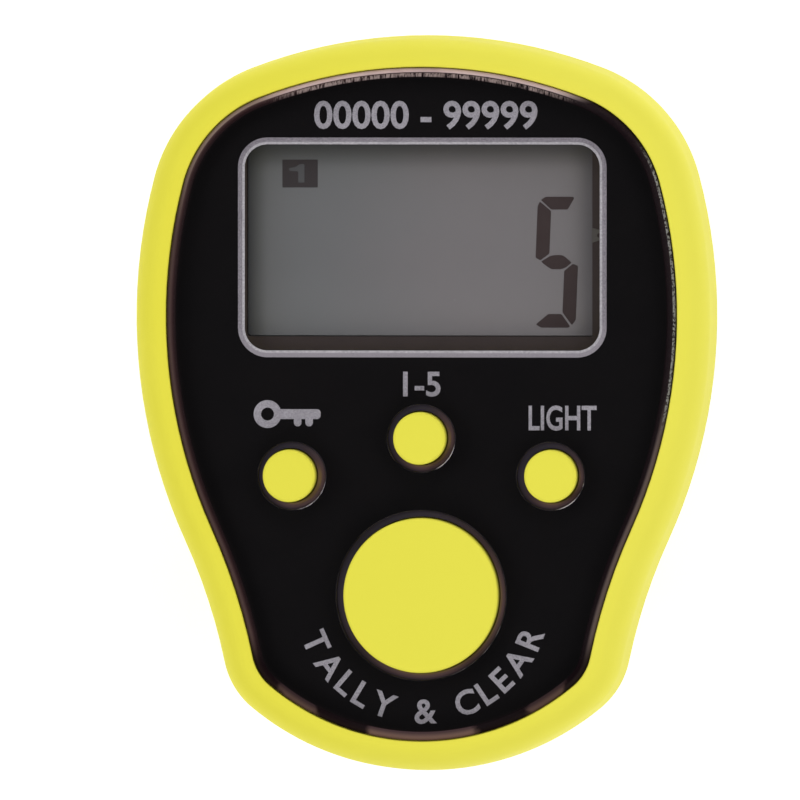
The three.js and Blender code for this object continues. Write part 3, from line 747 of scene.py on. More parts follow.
def letter_mesh(text, height, weight=LETTER_WEIGHT):
    """A bmesh of some text, its middle at the origin, and its width"""
    curve = bpy.data.curves.new("letters", "FONT")
    curve.body = text
    curve.size = height / FONT_HEIGHT
    curve.offset = weight
    curve.resolution_u = 4
    holder = linked("letters", curve)
    graph = bpy.context.evaluated_depsgraph_get()
    flat = bpy.data.meshes.new_from_object(holder.evaluated_get(graph))
    bm = bmesh.new()
    bm.from_mesh(flat)
    bpy.data.meshes.remove(flat)
    bpy.data.curves.remove(curve)
    bmesh.ops.remove_doubles(bm, verts=bm.verts, dist=LETTER_WELD)
    bmesh.ops.dissolve_degenerate(bm, dist=LETTER_WELD, edges=bm.edges)
    left = min(vert.co.x for vert in bm.verts)
    right = max(vert.co.x for vert in bm.verts)
    bmesh.ops.translate(bm, verts=bm.verts, vec=(-(left + right) / 2, -height / 2, 0))
    return bm, right - left


def push(bm, geom, way):
    """Extrudes faces by a way and returns what has moved"""
    moved = bmesh.ops.extrude_face_region(bm, geom=geom)["geom"]
    bmesh.ops.translate(bm, verts=of_kind(moved, BMVert), vec=way)
    return moved


def add_letters(target, letters, place, stretch=1.0):
    """Adds a bmesh of letters at a place, as thick as the ink"""
    matrix = place @ Matrix.Diagonal((stretch, 1, 1, 1))
    bmesh.ops.transform(letters, matrix=matrix, verts=letters.verts)
    push(letters, letters.faces[:], UP * INK)
    pour(letters, target)


def add_curved_letters(target, text, height, centre, radius, middle):
    """Adds letters on a circle, read anticlockwise, their middle at an angle in degrees"""
    letters = [(None, WORD_SPACE) if c == " " else letter_mesh(c, height) for c in text]
    total = sum(width for letter, width in letters) + LETTER_SPACE * (len(text) - 1)
    travelled = -total / 2
    for letter, width in letters:
        angle = math.radians(middle) + (travelled + width / 2) / radius
        travelled += width + LETTER_SPACE
        if letter:
            out = Vector((math.cos(angle), math.sin(angle), 0))
            spot = Vector((*centre, plate_z)) + radius * out
            turn = Matrix.Rotation(angle + math.pi / 2, 4, "Z")
            add_letters(target, letter, Matrix.Translation(spot) @ turn)
    print(text, "spans", round(math.degrees(total / radius), 1), "degrees")

# %% [markdown]
# Beside the letters there is one small sign, a key for the lock: a ring, a shaft and two teeth,
# each a simple solid as thick as the ink, joined into one.

# %% Signs
LEGEND_HEIGHT = 1.3
LEGEND_RADIUS = 6.47
LEGEND_MIDDLE = 271.1
STRAIGHT_SIGNS = [
    ("1-5", LEGEND_HEIGHT, LETTER_WEIGHT, (-0.02, 1.14), 1.0),
    ("LIGHT", LEGEND_HEIGHT, LETTER_WEIGHT, (7.82, -0.74), 0.72),
    ("00000 - 99999", 1.45, 0.045, (0.2, 16.1), 1.0),
]
KEY_CENTRE = (-8.62, -0.54)
KEY_RING = (0.775, 0.36)
KEY_SHAFT = (0.46, 2.96)
KEY_BAR = 0.55
KEY_ROUND = 0.2
TOOTH = (0.42, 0.8, KEY_ROUND)
TEETH = (1.68, 2.32)
TEETH_DROP = 0.28


def key_sign():
    x, y = KEY_CENTRE
    outer, inner = KEY_RING
    start, end = KEY_SHAFT
    top = plate_z + INK
    ring = cylinder(bmesh.new(), outer, plate_z, top, x, y, 48)
    size = (end - start, KEY_BAR, KEY_ROUND)
    bar = rounded_block(bmesh.new(), size, plate_z, top, x + (start + end) / 2, y, 5)
    teeth = bmesh.new()
    for reach in TEETH:
        rounded_block(teeth, TOOTH, plate_z, top, x + reach, y - TEETH_DROP, 5)
    hole = cylinder(bmesh.new(), inner, plate_z - PAST, top + PAST, x, y, 40)
    return cut(joined(joined(ring, bar), teeth), hole)


def signs():
    bm = key_sign()
    for text, height, weight, spot, stretch in STRAIGHT_SIGNS:
        letters, width = letter_mesh(text, height, weight)
        add_letters(bm, letters, Matrix.Translation((*spot, plate_z)), stretch)
    centre = BUTTONS["count"][:2]
    add_curved_letters(bm, "TALLY & CLEAR", LEGEND_HEIGHT, centre, LEGEND_RADIUS, LEGEND_MIDDLE)
    return bm


finished(signs(), "printed_signs", "case", "white_plastic")

# %% [markdown]
# The caps are turned mouldings: a crown with a small radius at its edge, a skirt, and a flange
# that stops the cap from falling out. A full spin of half a section makes one, with the seam
# merged. The top is very slightly hollow, where the finger rests.

# %% Caps
CAP_EDGE = 0.12
CAP_ROOF = 1.0
POST = 1.0
SKIRT = 0.9
DISH = 0.05
CAP_SLIM = 0.03
flange_low, cap_top = (corner.z for corner in measured("count_button"))
flange_high = deck_under - 0.1
post_low = measured("count_stem")[1].z + 0.05


def cap(name):
    x, y, radius = BUTTONS[name]
    radius -= CAP_SLIM
    flange = radius + FLANGE_WIDTH
    edge = quarter_round((radius, cap_top - CAP_EDGE), (radius - CAP_EDGE, cap_top), 6)
    crown = [(radius * share, cap_top - DISH * (1 - share ** 2)) for share in (0.96, 0.7, 0.4, 0)]
    hollow = [(POST, flange_low)]
    if radius - SKIRT > POST + SKIRT:
        roof, inner = cap_top - CAP_ROOF, radius - SKIRT
        hollow = [(POST, roof), (inner, roof), (inner, flange_low)]
    profile = [(0, post_low), (POST, post_low), *hollow, (flange, flange_low),
               (flange, flange_high), (radius, flange_high), *edge, *crown]
    bm = turned(bmesh.new(), profile, x + CAP_PLAY[name], y, 96)
    finished(bm, f"{name}_cap", f"{name}_key", "cap_plastic", f"{name}_button")


for name in BUTTONS:
    cap(name)

# %% [markdown]
# The display shows one number and a small box for the channel. Each bar of the figure is its own
# electrode on the glass, with a hair of space to the next one. The bars are flat polygons in a box
# of the figure's size, with rounded corners, and a shear leans them.

# %% Figure and channel box on the display
FIGURE = (2.38, 7.28)
STROKE = 0.76
LEAN = math.radians(2.3)
FIGURE_PLACE = (7.41, 7.90)
BOX = (1.97, 1.55)
BOX_PLACE = (-6.90, 12.82)
SHEET = 0.01
BAR_ROUND = 0.06
filter_z = measured("front_filter")[1].z


def bars():
    """The bars of a five, each as its corners, from the middle of the figure"""
    w, h, s = FIGURE[0] / 2, FIGURE[1] / 2, STROKE
    top = [(-w + 0.17, h - 0.18), (-w + 0.43, h), (w - 0.42, h), (w - 0.36, h - 0.08),
           (w - 0.7, h - s + 0.05), (-w + s, h - s + 0.05)]
    left = [(-w, h - 0.52), (-w + 0.11, h - 0.27), (-w + s, h - s - 0.03), (-w + s, 0.48),
            (-w + 0.27, 0.1), (-w, 0.25)]
    middle = [(-0.88, 0.03), (-0.39, 0.34), (-0.1, 0.4), (0.2, 0.4), (0.4, 0.34), (0.83, -0.02),
              (0.52, -0.29), (0.25, -0.39), (-0.29, -0.39), (-0.6, -0.19)]
    right = [(w, -0.2), (w - 0.29, -0.09), (w - s, -0.49), (w - s, -h + s + 0.09),
             (w - 0.21, -h + 0.14), (w, -h + 0.44)]
    bottom = [(-w + 0.16, -h + 0.18), (-w + 0.83, -h + s), (w - 0.82, -h + s),
              (w - 0.3, -h + 0.07), (w - 0.4, -h), (-w + 0.46, -h)]
    return [top, left, middle, right, bottom]


def add_sheet(target, corners, place, low, rounding=BAR_ROUND):
    """Adds a thin polygon whose corners are measured from a place, its upright edges rounded"""
    bm = bmesh.new()
    face = drawn_face(bm, [(place[0] + x, place[1] + y, low) for x, y in corners])
    push(bm, [face], UP * SHEET)
    round_edges(bm, [edge for edge in bm.edges if is_upright(edge)], rounding, 3)
    pour(bm, target)


def sheet_piece(name, *shape):
    bm = bmesh.new()
    add_sheet(bm, *shape)
    finished(bm, name, "case", "display_filter")


def figure():
    bm = bmesh.new()
    for corners in bars():
        add_sheet(bm, corners, (0, 0), 0)
    lean = Matrix.Identity(4)
    lean[0][1] = math.tan(LEAN)
    place = Matrix.Translation((*FIGURE_PLACE, filter_z))
    bmesh.ops.transform(bm, matrix=place @ lean, verts=bm.verts)
    finished(bm, "figure_five", "case", "display_filter")


BOX_CORNERS = [(side * BOX[0] / 2, end * BOX[1] / 2)
               for side, end in ((-1, -1), (1, -1), (1, 1), (-1, 1))]
ONE = [(0.24, 0.53), (0, 0.53), (-0.25, 0.36), (-0.63, 0.29), (-0.6, 0.16), (-0.1, 0.12),
       (-0.1, -0.5), (0.24, -0.5)]
figure()
sheet_piece("channel_box", BOX_CORNERS, BOX_PLACE, filter_z, 0.03)
sheet_piece("channel_number", ONE, BOX_PLACE, filter_z + SHEET)

# %% [markdown]
# The display is a thin cell of glass that was filled through a gap in its seal. The seal shows at
# the right end as a dark edge, the gap as a break in it, with a drop of the glue that closed it.
# Each is one more thin sheet, a little above the one before it.

# %% Filling gap of the display
GAP_PLACE = (9.83, 9.4)
GAP_SHEETS = {
    "seal_edge": [(-0.42, -6.4), (0.1, -6.4), (0.1, 5.1), (-0.42, 5.1)],
    "seal_gap": [(-0.45, 0.42), (0.2, 0.24), (0.2, -0.2), (-0.45, -0.42)],
    "seal_drop": [(-0.16, 0.06), (0.0, 0.15), (0.13, 0.09), (0.14, -0.09), (0.0, -0.15),
                  (-0.16, -0.08)],
}
for layer, (name, corners) in enumerate(GAP_SHEETS.items()):
    sheet_piece(name, corners, GAP_PLACE, deck_under + layer * SHEET, 0.05)

# %% [markdown]
# The band is one strip of silicone, bent round the finger. It starts as a small rectangle at the
# bead. Pushing that face along and spinning it round the corners leaves a strip of even width and
# thickness behind it, which a curve with a bevel would lose at a tight bend.

# %% Finger band
BAND_THICKNESS = 1.2
BAND_FLAT = 11.0
BAND_CORNER = 7.5
BAND_SEAT = 0.3
BAND_EDGE = 0.3
TAB_CORNER = 1.6
TAB_LENGTH = 6.4
TAB_ROUND = 2.6
BEAD_RADIUS = 1.1
HOLE_RADIUS = 1.25
HOLE_PITCH = 2.9
band_top = rear_z - BAND_SEAT


def band_strip():
    x, half, width = BEAD.x, BAND_THICKNESS / 2, BAND_WIDTH / 2
    low = BAND_CORNER + half
    bend_x = BAND_FLAT / 2 + BAND_CORNER - TAB_CORNER
    bend_z = band_top - half - TAB_CORNER
    bm = bmesh.new()
    end = drawn_face(bm, [
        (x - half, -width, BEAD.z), (x - half, width, BEAD.z),
        (x + half, width, BEAD.z), (x + half, -width, BEAD.z),
    ])
    for way, centre, steps in (
        ((0, 0, low - BEAD.z), (-BAND_FLAT / 2, 0, low), 24),
        ((BAND_FLAT, 0, 0), (BAND_FLAT / 2, 0, low), 24),
        ((0, 0, bend_z - low), (bend_x, 0, bend_z), 12),
        ((-TAB_LENGTH, 0, 0), None, 0),
    ):
        end = of_kind(push(bm, [end, *end.edges, *end.verts], way), BMFace)[0]
        if centre:
            end = spin_face(bm, end, centre, ALONG, -math.pi / 2, steps)
    tip = bend_x - TAB_LENGTH
    corners = [edge for edge in bm.edges if is_upright(edge)
               and all(abs(vert.co.x - tip) < WELD for vert in edge.verts)]
    return round_edges(bm, corners, TAB_ROUND, 10)


def side_edge(edge):
    """Edges along the two sides of the band"""
    return all(abs(abs(vert.co.y) - BAND_WIDTH / 2) < WELD for vert in edge.verts)


def finger_band():
    bm = joined(band_strip(), bead_rod(BEAD_RADIUS, BAND_WIDTH, 48))
    bmesh.ops.dissolve_limit(
        bm, angle_limit=math.radians(0.5), verts=bm.verts, edges=bm.edges,
    )
    soften(bm, BAND_EDGE, 4, side_edge)
    holes = bmesh.new()
    for x in (PEG_X, PEG_X - HOLE_PITCH):
        flared_hole(holes, HOLE_RADIUS, band_top - BAND_THICKNESS, band_top + PAST, x, 0, 0.2, 48)
    return cut(bm, holes)


finished(finger_band(), "finger_band", "strap", "silicone", "finger_strap")

# %% [markdown]
# The battery door is turned from a section, as the caps are, then gets its three lugs and a slot
# for a coin, and a dot near its edge that shows how it is turned.

# %% Battery door
CELL_RADIUS = 5.8
NECK_INNER = 6.0
DOOR_BEVEL = 0.22
COIN_SLOT = (9.0, 1.6, 0.78)
COIN_DEPTH = 0.5
MARK_RADIUS = 0.4
MARK_REACH = 6.2
MARK_DEPTH = 0.15
SLOT_EDGE = 0.12


def door_solid():
    cell_seat = measured("battery_cell")[0].z - 0.1
    edge = quarter_round(
        (DOOR_RADIUS - DOOR_BEVEL, rear_z), (DOOR_RADIUS, rear_z + DOOR_BEVEL), 4, rising=False,
    )
    profile = [(0, rear_z), *edge, (DOOR_RADIUS, door_inner), (NECK_OUTER, door_inner),
               (NECK_OUTER, lug_top), (NECK_INNER, lug_top), (NECK_INNER, door_inner),
               (CELL_RADIUS / 2, door_inner), (CELL_RADIUS / 2, cell_seat), (0, cell_seat)]
    lugs = lug_sectors(NECK_OUTER - 4 * OVERLAP, LUG_OUTER, lug_low, lug_top, 0, LUG_ANGLE)
    return joined(turned(bmesh.new(), profile, DOOR_X, DOOR_Y, 120), lugs)


def door_cuts():
    tools = bmesh.new()
    out = rear_z - PAST
    rounded_block(tools, COIN_SLOT, out, rear_z + COIN_DEPTH, DOOR_X, DOOR_Y)
    return cylinder(tools, MARK_RADIUS, out, rear_z + MARK_DEPTH, DOOR_X, DOOR_Y + MARK_REACH, 32)


def slot_mouth(edge):
    """Edges of the coin slot and of the dot, in the flat of the door"""
    reach = max((vert.co - Vector((DOOR_X, DOOR_Y, rear_z))).length for vert in edge.verts)
    flat = all(vert.co.z < rear_z + WELD for vert in edge.verts)
    return flat and reach < DOOR_RADIUS - 2 * DOOR_BEVEL


door = soften(cut(door_solid(), door_cuts()), SLOT_EDGE, 3, slot_mouth)
finished(door, "door_disc", "door", "yellow_plastic", "battery_door")

# %% [markdown]
# The four case screws are small and sunk in wells, but a screw is what the eye looks for on a
# back. Each has a rounded head with a cross recess, a shank, and a real thread: a small triangle
# spun round the shank, with a step along its axis that makes it climb.

# %% Case screws
HEAD_RADIUS = 1.35
DOME = 0.45
TIP_LENGTH = 0.7
HEAD_EDGE = 0.05
THREAD_DEPTH = 0.13
THREAD_PITCH = 0.6
THREAD_STEPS = 20
RECESS = (1.5, 0.34, 0.7)
CORE = SHANK_RADIUS - THREAD_DEPTH


def screw_blank(x, y, low, tip):
    shoulder = low + HEAD_HEIGHT
    dome = quarter_round((0, low), (HEAD_RADIUS, low + DOME), 8, rising=False)
    profile = [*dome, (HEAD_RADIUS, shoulder), (CORE, shoulder), (CORE, tip - TIP_LENGTH),
               (CORE / 2, tip), (0, tip)]
    return turned(bmesh.new(), profile, x, y, 48)


def cross_recess(x, y, low):
    length, width, depth = RECESS
    bars = []
    for across, up in ((length / 2, width / 2), (width / 2, length / 2)):
        start, end = (x - across, y - up, low - PAST), (x + across, y + up, low + depth)
        bars.append(block(bmesh.new(), start, end))
    return joined(*bars)


def add_thread(bm, x, y, low, high):
    half = THREAD_PITCH * 0.36
    corners = [(CORE - 0.04, low - half), (SHANK_RADIUS - 0.01, low), (CORE - 0.04, low + half)]
    face = drawn_face(bm, [(x + radius, y, z) for radius, z in corners])
    turns = (high - low) / THREAD_PITCH
    steps = int(turns * THREAD_STEPS)
    spin_face(bm, face, (x, y, 0), UP, turns * math.tau, steps, UP * ((high - low) / steps))


for number, (x, y, z) in enumerate(SCREWS, 1):
    low, tip = screw_low.z, screw_high.z
    screw = cut(screw_blank(x, y, low, tip), cross_recess(x, y, low))
    soften(screw, HEAD_EDGE, 2, lambda edge: max(vert.co.z for vert in edge.verts) < low + 0.4)
    add_thread(screw, x, y, low + HEAD_HEIGHT + 0.4, tip - 0.8)
    finished(screw, f"screw_{number}", "case", "steel", f"case_screw_{number}")

# %% [markdown]
# A finish is a graph of nodes. Written out node by node it is long and hides the idea, so two
# small classes help. The first wraps an output and gives it Python's operators, each of which adds
# a Math node. The second owns one material and adds any other node.

# %% Helpers for finishes
SOCKETS = {"colour": "Base Color", "metal": "Metallic", "rough": "Roughness",
           "mirror": "Specular IOR Level", "normal": "Normal"}


def operator(operation, swapped=False):
    """A method that adds a Math node"""
    def method(link, other=0.0):
        return link.finish.maths(operation, *((other, link) if swapped else (link, other)))
    return method


class Link:
    """A node's output, with operators that add Math nodes"""

    def __init__(self, finish, socket):
        self.finish = finish
        self.socket = socket

    __add__ = __radd__ = operator("ADD")
    __sub__ = operator("SUBTRACT")
    __rsub__ = operator("SUBTRACT", swapped=True)
    __mul__ = __rmul__ = operator("MULTIPLY")
    __truediv__ = operator("DIVIDE")
    __gt__ = operator("GREATER_THAN")
    __lt__ = operator("LESS_THAN")
    __abs__ = operator("ABSOLUTE")


class Finish:
    """A material: its shader's own sockets are set at once, and links are added after"""

    def __init__(self, name, rough, **sockets):
        self.material = bpy.data.materials.new(name)
        self.material.use_nodes = True
        self.tree = self.material.node_tree
        self.shader = self.tree.nodes["Principled BSDF"]
        for socket, value in {"rough": rough, **sockets}.items():
            self.shader.inputs[SOCKETS[socket]].default_value = value

    def feed(self, **links):
        for socket, link in links.items():
            self.tree.links.new(link.socket, self.shader.inputs[SOCKETS[socket]])

    def node(self, kind, settings, inputs, output=0):
        node = self.tree.nodes.new(kind)
        for name, value in settings.items():
            setattr(node, name, value)
        for key, value in inputs.items():
            if isinstance(value, Link):
                self.tree.links.new(value.socket, node.inputs[key])
            else:
                node.inputs[key].default_value = value
        return Link(self, node.outputs[output])

    def maths(self, operation, a, b):
        return self.node("ShaderNodeMath", {"operation": operation}, {0: a, 1: b})

    def place(self):
        """Object coordinates in metres, where the pieces are"""
        return self.node("ShaderNodeTexCoord", {}, {}, "Object")

    def millimetres(self):
        """The three object coordinates, as in the drawings of the pieces"""
        parts = [self.node("ShaderNodeSeparateXYZ", {}, {"Vector": self.place()}, axis)
                 for axis in range(3)]
        return [part * (1 / MM) for part in parts]

    def noise(self, size_mm, detail=2.0, roughness=0.5, squeeze=(1, 1, 1)):
        """Noise with grains about so many millimetres across, longer where it is squeezed less"""
        where = self.node("ShaderNodeMapping", {}, {"Vector": self.place(), "Scale": squeeze})
        return self.node("ShaderNodeTexNoise", {}, {
            "Vector": where, "Scale": 1 / (size_mm * MM), "Detail": detail, "Roughness": roughness,
        }, "Fac")

    def specks(self, spacing_mm, size_mm, share):
        """1 in small round specks, in a share of the cells of a Voronoi pattern, and else 0"""
        cells = {"Vector": self.place(), "Scale": 1 / (spacing_mm * MM)}
        near = self.node("ShaderNodeTexVoronoi", {}, cells, "Distance")
        pick = self.node("ShaderNodeTexVoronoi", {}, cells, "Color")
        red = self.node("ShaderNodeSeparateColor", {}, {"Color": pick}, "Red")
        return (near < size_mm / spacing_mm) * (red < share)

    def rise(self, value, start, end):
        """0 up to start and 1 from end on, smooth between them; it falls where end is less"""
        return self.node("ShaderNodeMapRange", {"interpolation_type": "SMOOTHSTEP"}, {
            "Value": value, "From Min": start, "From Max": end,
        }, "Result")

    def within(self, value, low, high, soft):
        """1 between two values, falling to 0 over a soft margin outside them"""
        return self.rise(value, low - soft, low) * self.rise(value, high + soft, high)

    def ramp(self, factor, *stops):
        """A colour ramp between two stops, each a position and a colour"""
        ramp = self.node("ShaderNodeValToRGB", {}, {"Fac": factor}, "Color")
        for element, (position, colour) in zip(ramp.socket.node.color_ramp.elements, stops):
            element.position = position
            element.color = (*colour, 1.0)
        return ramp

    def mix(self, factor, first, second):
        first, second = [c if isinstance(c, Link) else (*c, 1.0) for c in (first, second)]
        inputs = {0: factor, 6: first, 7: second}
        return self.node("ShaderNodeMix", {"data_type": "RGBA"}, inputs, 2)

    def layered(self, colour, *layers):
        """Lays colours over the first one, each by its own share"""
        for share, above in layers:
            colour = self.mix(share, colour, above)
        return colour

    def bump(self, height, depth_mm):
        """Feeds a height, as bumps of so many millimetres, to the shader's normal"""
        self.feed(normal=self.node("ShaderNodeBump", {}, {
            "Height": height, "Distance": depth_mm * MM, "Strength": 1.0,
        }, "Normal"))

    def edge_on(self, straight):
        """Schlick's rule: the share that a clear surface mirrors, from straight on to edge on"""
        facing = self.node("ShaderNodeLayerWeight", {}, {"Blend": 0.5}, "Facing")
        return straight + (1 - straight) * self.maths("POWER", facing, 5.0)

    def see_through(self, factor, tint):
        """Mixes the shader with a clear one: factor 0 is all clear, 1 is all shader"""
        clear = self.node("ShaderNodeBsdfTransparent", {}, {"Color": (*tint, 1.0)}, "BSDF")
        gloss = Link(self, self.shader.outputs["BSDF"])
        mixed = self.node("ShaderNodeMixShader", {}, {0: factor, 1: clear, 2: gloss}, "Shader")
        output = self.tree.nodes["Material Output"]
        self.tree.links.new(mixed.socket, output.inputs["Surface"])
        return self

# %% [markdown]
# The yellow mouldings have the fine matt grain of an eroded mould. Their colour is strong and
# almost even, with a little cloudiness from the pigment, and painted light makes it lighter and
# paler towards the right of the case. The grain is a bump and a change in roughness together,
# because a bump alone looks like wet sand. The caps are a little more matt.

# %% Yellow plastic
def yellow(name, low, high, gloss, grain):
    finish = Finish(name, gloss, mirror=0.08)
    cloud = finish.noise(4.0, 3.0, 0.55)
    # Painted light: across runs from the left of the case to its right, where the colour is
    # painted lighter and paler.
    across = finish.rise(finish.millimetres()[0], case_low.x, case_high.x)
    grains = finish.noise(grain, 3.0, 0.6)
    finish.feed(colour=finish.mix(0.3 * cloud + 0.7 * across, low, high))
    finish.feed(rough=gloss - 0.06 + 0.12 * grains)
    finish.bump(grains, 0.006)
    return finish


case_yellow = yellow("case yellow with painted light", (0.775, 0.716, 0.057), (0.815, 0.760, 0.094), 0.56, 0.09)
cap_yellow = yellow("cap yellow with painted light", (0.768, 0.718, 0.068), (0.800, 0.752, 0.080), 0.60, 0.07)

# %% [markdown]
# The clear face mirrors a few percent of the light, more at a low angle, and lets the rest
# through. Real refraction would leave the print below it dark and noisy, so the face is a mix of a
# clear shader and a mirror. A Fresnel node as the factor would turn it opaque for light that
# leaves at a low angle, so Schlick's rule is written out instead, which is the same both ways.

# %% Clear plastic, its ground edge and its bonded side
def clear_face_finish():
    finish = Finish("clear face", 0.06, colour=(0.95, 0.95, 0.95, 1), metal=1.0)
    finish.feed(rough=0.045 + 0.03 * finish.noise(3.0, 2.0))
    return finish.see_through(finish.edge_on(0.039), (0.96, 0.96, 0.965))


def ground_edge_painted_reflections():
    """Painted reflections: dark layers, then painted highlight lines, patches and a glint"""
    finish = Finish("ground edge", 0.3, mirror=0.02)
    noise, rise, within = finish.noise, finish.rise, finish.within
    x, y, z = finish.millimetres()
    across = (z - (plate_top - PLATE_BEVEL[1])) * (1 / PLATE_BEVEL[1])
    streaks = noise(0.35, 4.0, 0.65)
    teeth = noise(0.09, 2.0, 0.5, (1, 0.12, 0.3))
    glint_breakup = noise(0.12, 2.0, 0.5)
    wavering_x = x + 0.8 * (noise(0.5, 3.0) - 0.5)
    # Masks for painted light on the bevel. The inner part and the lower end get painted dark
    # reflections. The left side, the outer line, the shoulder, the top end and the right side get
    # painted highlights and reflections.
    inner = rise(across, 0.35, 1.05)
    painted_left_reflection = rise(x, 6.0, -9.0)
    painted_outer_line = rise(across, 0.75, 0.35)
    lower_right = rise(x, 3.0, 8.0) * rise(y, 1.0, -2.5)
    shoulder = rise(y, 9.0, 16.5) * rise(x, -4.0, -8.0)
    painted_low_end = rise(y, -12.5, -14.5)
    middle = within(wavering_x, -2.7, 2.75, 0.45)
    sides = within(abs(wavering_x - 0.05), 6.1, 7.7, 0.4)
    painted_patch = finish.mix(inner, (0.165, 0.098, 0.083), (0.055, 0.032, 0.034))
    top_end = rise(y, 16.7, 17.6)
    painted_upper_sparkle = top_end * within(across, 0.68, 0.95, 0.1) * rise(teeth, 0.35, 0.62)
    painted_upper_highlight = finish.mix(noise(1.4, 2.0), (0.44, 0.31, 0.33), (0.74, 0.58, 0.58))
    right_side = rise(x, 11.0, 13.0) * within(y, 0.5, 12.5, 2.5)
    glint = right_side * within(across, 0.12, 0.34, 0.1) * rise(glint_breakup, 0.36, 0.6)
    # Layers of painted reflection and painted highlight over a dark base; the streaks are darker
    # noise.
    finish.feed(colour=finish.layered(
        (0.010, 0.007, 0.009),
        (painted_left_reflection, (0.066, 0.032, 0.033)),
        (streaks * 0.4, (0.05, 0.03, 0.034)),
        (inner * 0.85, (0.006, 0.003, 0.004)),
        (painted_outer_line * (lower_right + 0.35 * painted_left_reflection), (0.12, 0.088, 0.084)),
        (shoulder * within(across, 0.05, 0.4, 0.15), (0.27, 0.195, 0.175)),
        (painted_low_end * 0.9, (0.006, 0.003, 0.004)),
        (painted_low_end * (middle + 0.55 * sides), painted_patch),
        (top_end * within(across, -0.2, 0.48, 0.08), painted_upper_highlight),
        (painted_upper_sparkle, (0.30, 0.23, 0.22)),
        (glint, (0.30, 0.30, 0.30)),
    ))
    cover = 0.86 + 0.12 * finish.maths("MAXIMUM", streaks, painted_low_end)
    return finish.see_through(cover, (0.6, 0.5, 0.5))


def round_buttons(finish, reach):
    """1 within a reach beyond each cap, and there how squarely a point lies to the lower right
    and how far out it is"""
    x, y, z = finish.millimetres()
    near, lower_right, outwards = 0.0, 0.0, 0.0
    for button_x, button_y, radius in BUTTONS.values():
        across, up = x - button_x, y - button_y
        away = finish.maths("POWER", across * across + up * up, 0.5)
        inside = away < radius + reach
        near = near + inside
        lower_right = lower_right + inside * (across - up) / (away * math.sqrt(2))
        outwards = outwards + inside * (away - radius) * (1 / reach)
    return near, lower_right, outwards


def hole_edge_painted_highlight():
    finish = Finish("hole edge painted highlight", 0.25, mirror=0.2)
    lower_right = round_buttons(finish, HOLE_GAP + 2 * HOLE_FLARE)[1]
    wear_and_glint_breakup = finish.rise(finish.noise(0.8, 3.0), 0.38, 0.6)
    small = 0.2 + 0.8 * finish.rise(finish.millimetres()[1], -7.5, -6.5)
    # Painted highlight: a light arc on the lower right of each hole wall, broken up by noise and
    # weaker low on the face, where the wall is also made less clear.
    arc = finish.rise(lower_right, 0.78, 0.97) * wear_and_glint_breakup * small
    finish.feed(colour=finish.layered(
        (0.010, 0.008, 0.012), (wear_and_glint_breakup, (0.035, 0.028, 0.038)), (arc, (0.52, 0.48, 0.56)),
    ))
    return finish.see_through(0.5 + 0.45 * arc, (0.8, 0.76, 0.8))


def bonded_finish():
    finish = Finish("bonded side", 0.5, colour=(0.01, 0.01, 0.012, 1))
    return finish.see_through(0.04 * finish.noise(2.0, 2.0), (0.99, 0.99, 0.99))

# %% [markdown]
# The print is a deep black with a touch of red towards its outer edge. On the narrow rings round
# the caps, where no clear plastic lies over it, the black is painted much lighter: painted light,
# warmest and lightest on the lower right near each cap, with painted shade further out. The
# signs and the silver line are a metallic ink: grey, sandy like its flakes, and a little uneven.

# %% Inks
def black_ink_with_painted_rings():
    finish = Finish("black print", 0.5, mirror=0.1)
    edge = finish.node("ShaderNodeAttribute", {"attribute_name": "edge"}, {}, "Fac")
    ring_floors_painted_light, lower_right, outwards = round_buttons(finish, HOLE_GAP)
    turn = lower_right + 0.5 * (finish.noise(1.6, 2.0) - 0.5)
    # Painted light on the rings round the caps: much lighter than the ink, with a painted yellow
    # glow on the lower right near each cap and painted shade further out.
    ring = finish.layered(
        (0.062, 0.055, 0.078),
        (finish.rise(turn, -0.9, 0.9), (0.17, 0.105, 0.115)),
        (finish.rise(outwards, 0.5, 0.1) * finish.rise(turn, 0.1, 0.8), (0.30, 0.20, 0.09)),
        (finish.rise(outwards, 0.45, 1.1), (0.030, 0.024, 0.036)),
    )
    finish.feed(colour=finish.layered(
        (0.0012, 0.0008, 0.0015),
        (finish.noise(3.0, 2.0), (0.0032, 0.0022, 0.0027)),
        # A touch of red towards the film's outer edge.
        (edge * edge * edge, (0.11, 0.062, 0.066)),
        (ring_floors_painted_light, ring),
    ))
    return finish


def metallic_ink(name, dark, light, flake, painted_lift=0.0):
    """Ink with flakes; a lift paints a highlight, lighter below the middle of the display"""
    finish = Finish(name, 0.5, metal=0.15)
    # Painted highlight: where a lift is given, the lower part of the line is painted lighter.
    painted_low_end = finish.rise(finish.millimetres()[1], 5.0, 3.0)
    flakes = finish.noise(flake, 3.0, 0.7)
    sand_and_painted_lift = flakes + 0.25 * finish.noise(1.2, 2.0) - 0.12 + painted_lift * painted_low_end
    finish.feed(colour=finish.ramp(sand_and_painted_lift, (0.35, dark), (0.65, light)), rough=0.4 + 0.2 * flakes)
    return finish

# %% [markdown]
# A liquid crystal display is grey glass over a silvery reflector. Its colour has painted shade
# towards the edges of its window, where the case shades it, and painted light towards the right
# and the bottom; its dark figures are brownish.

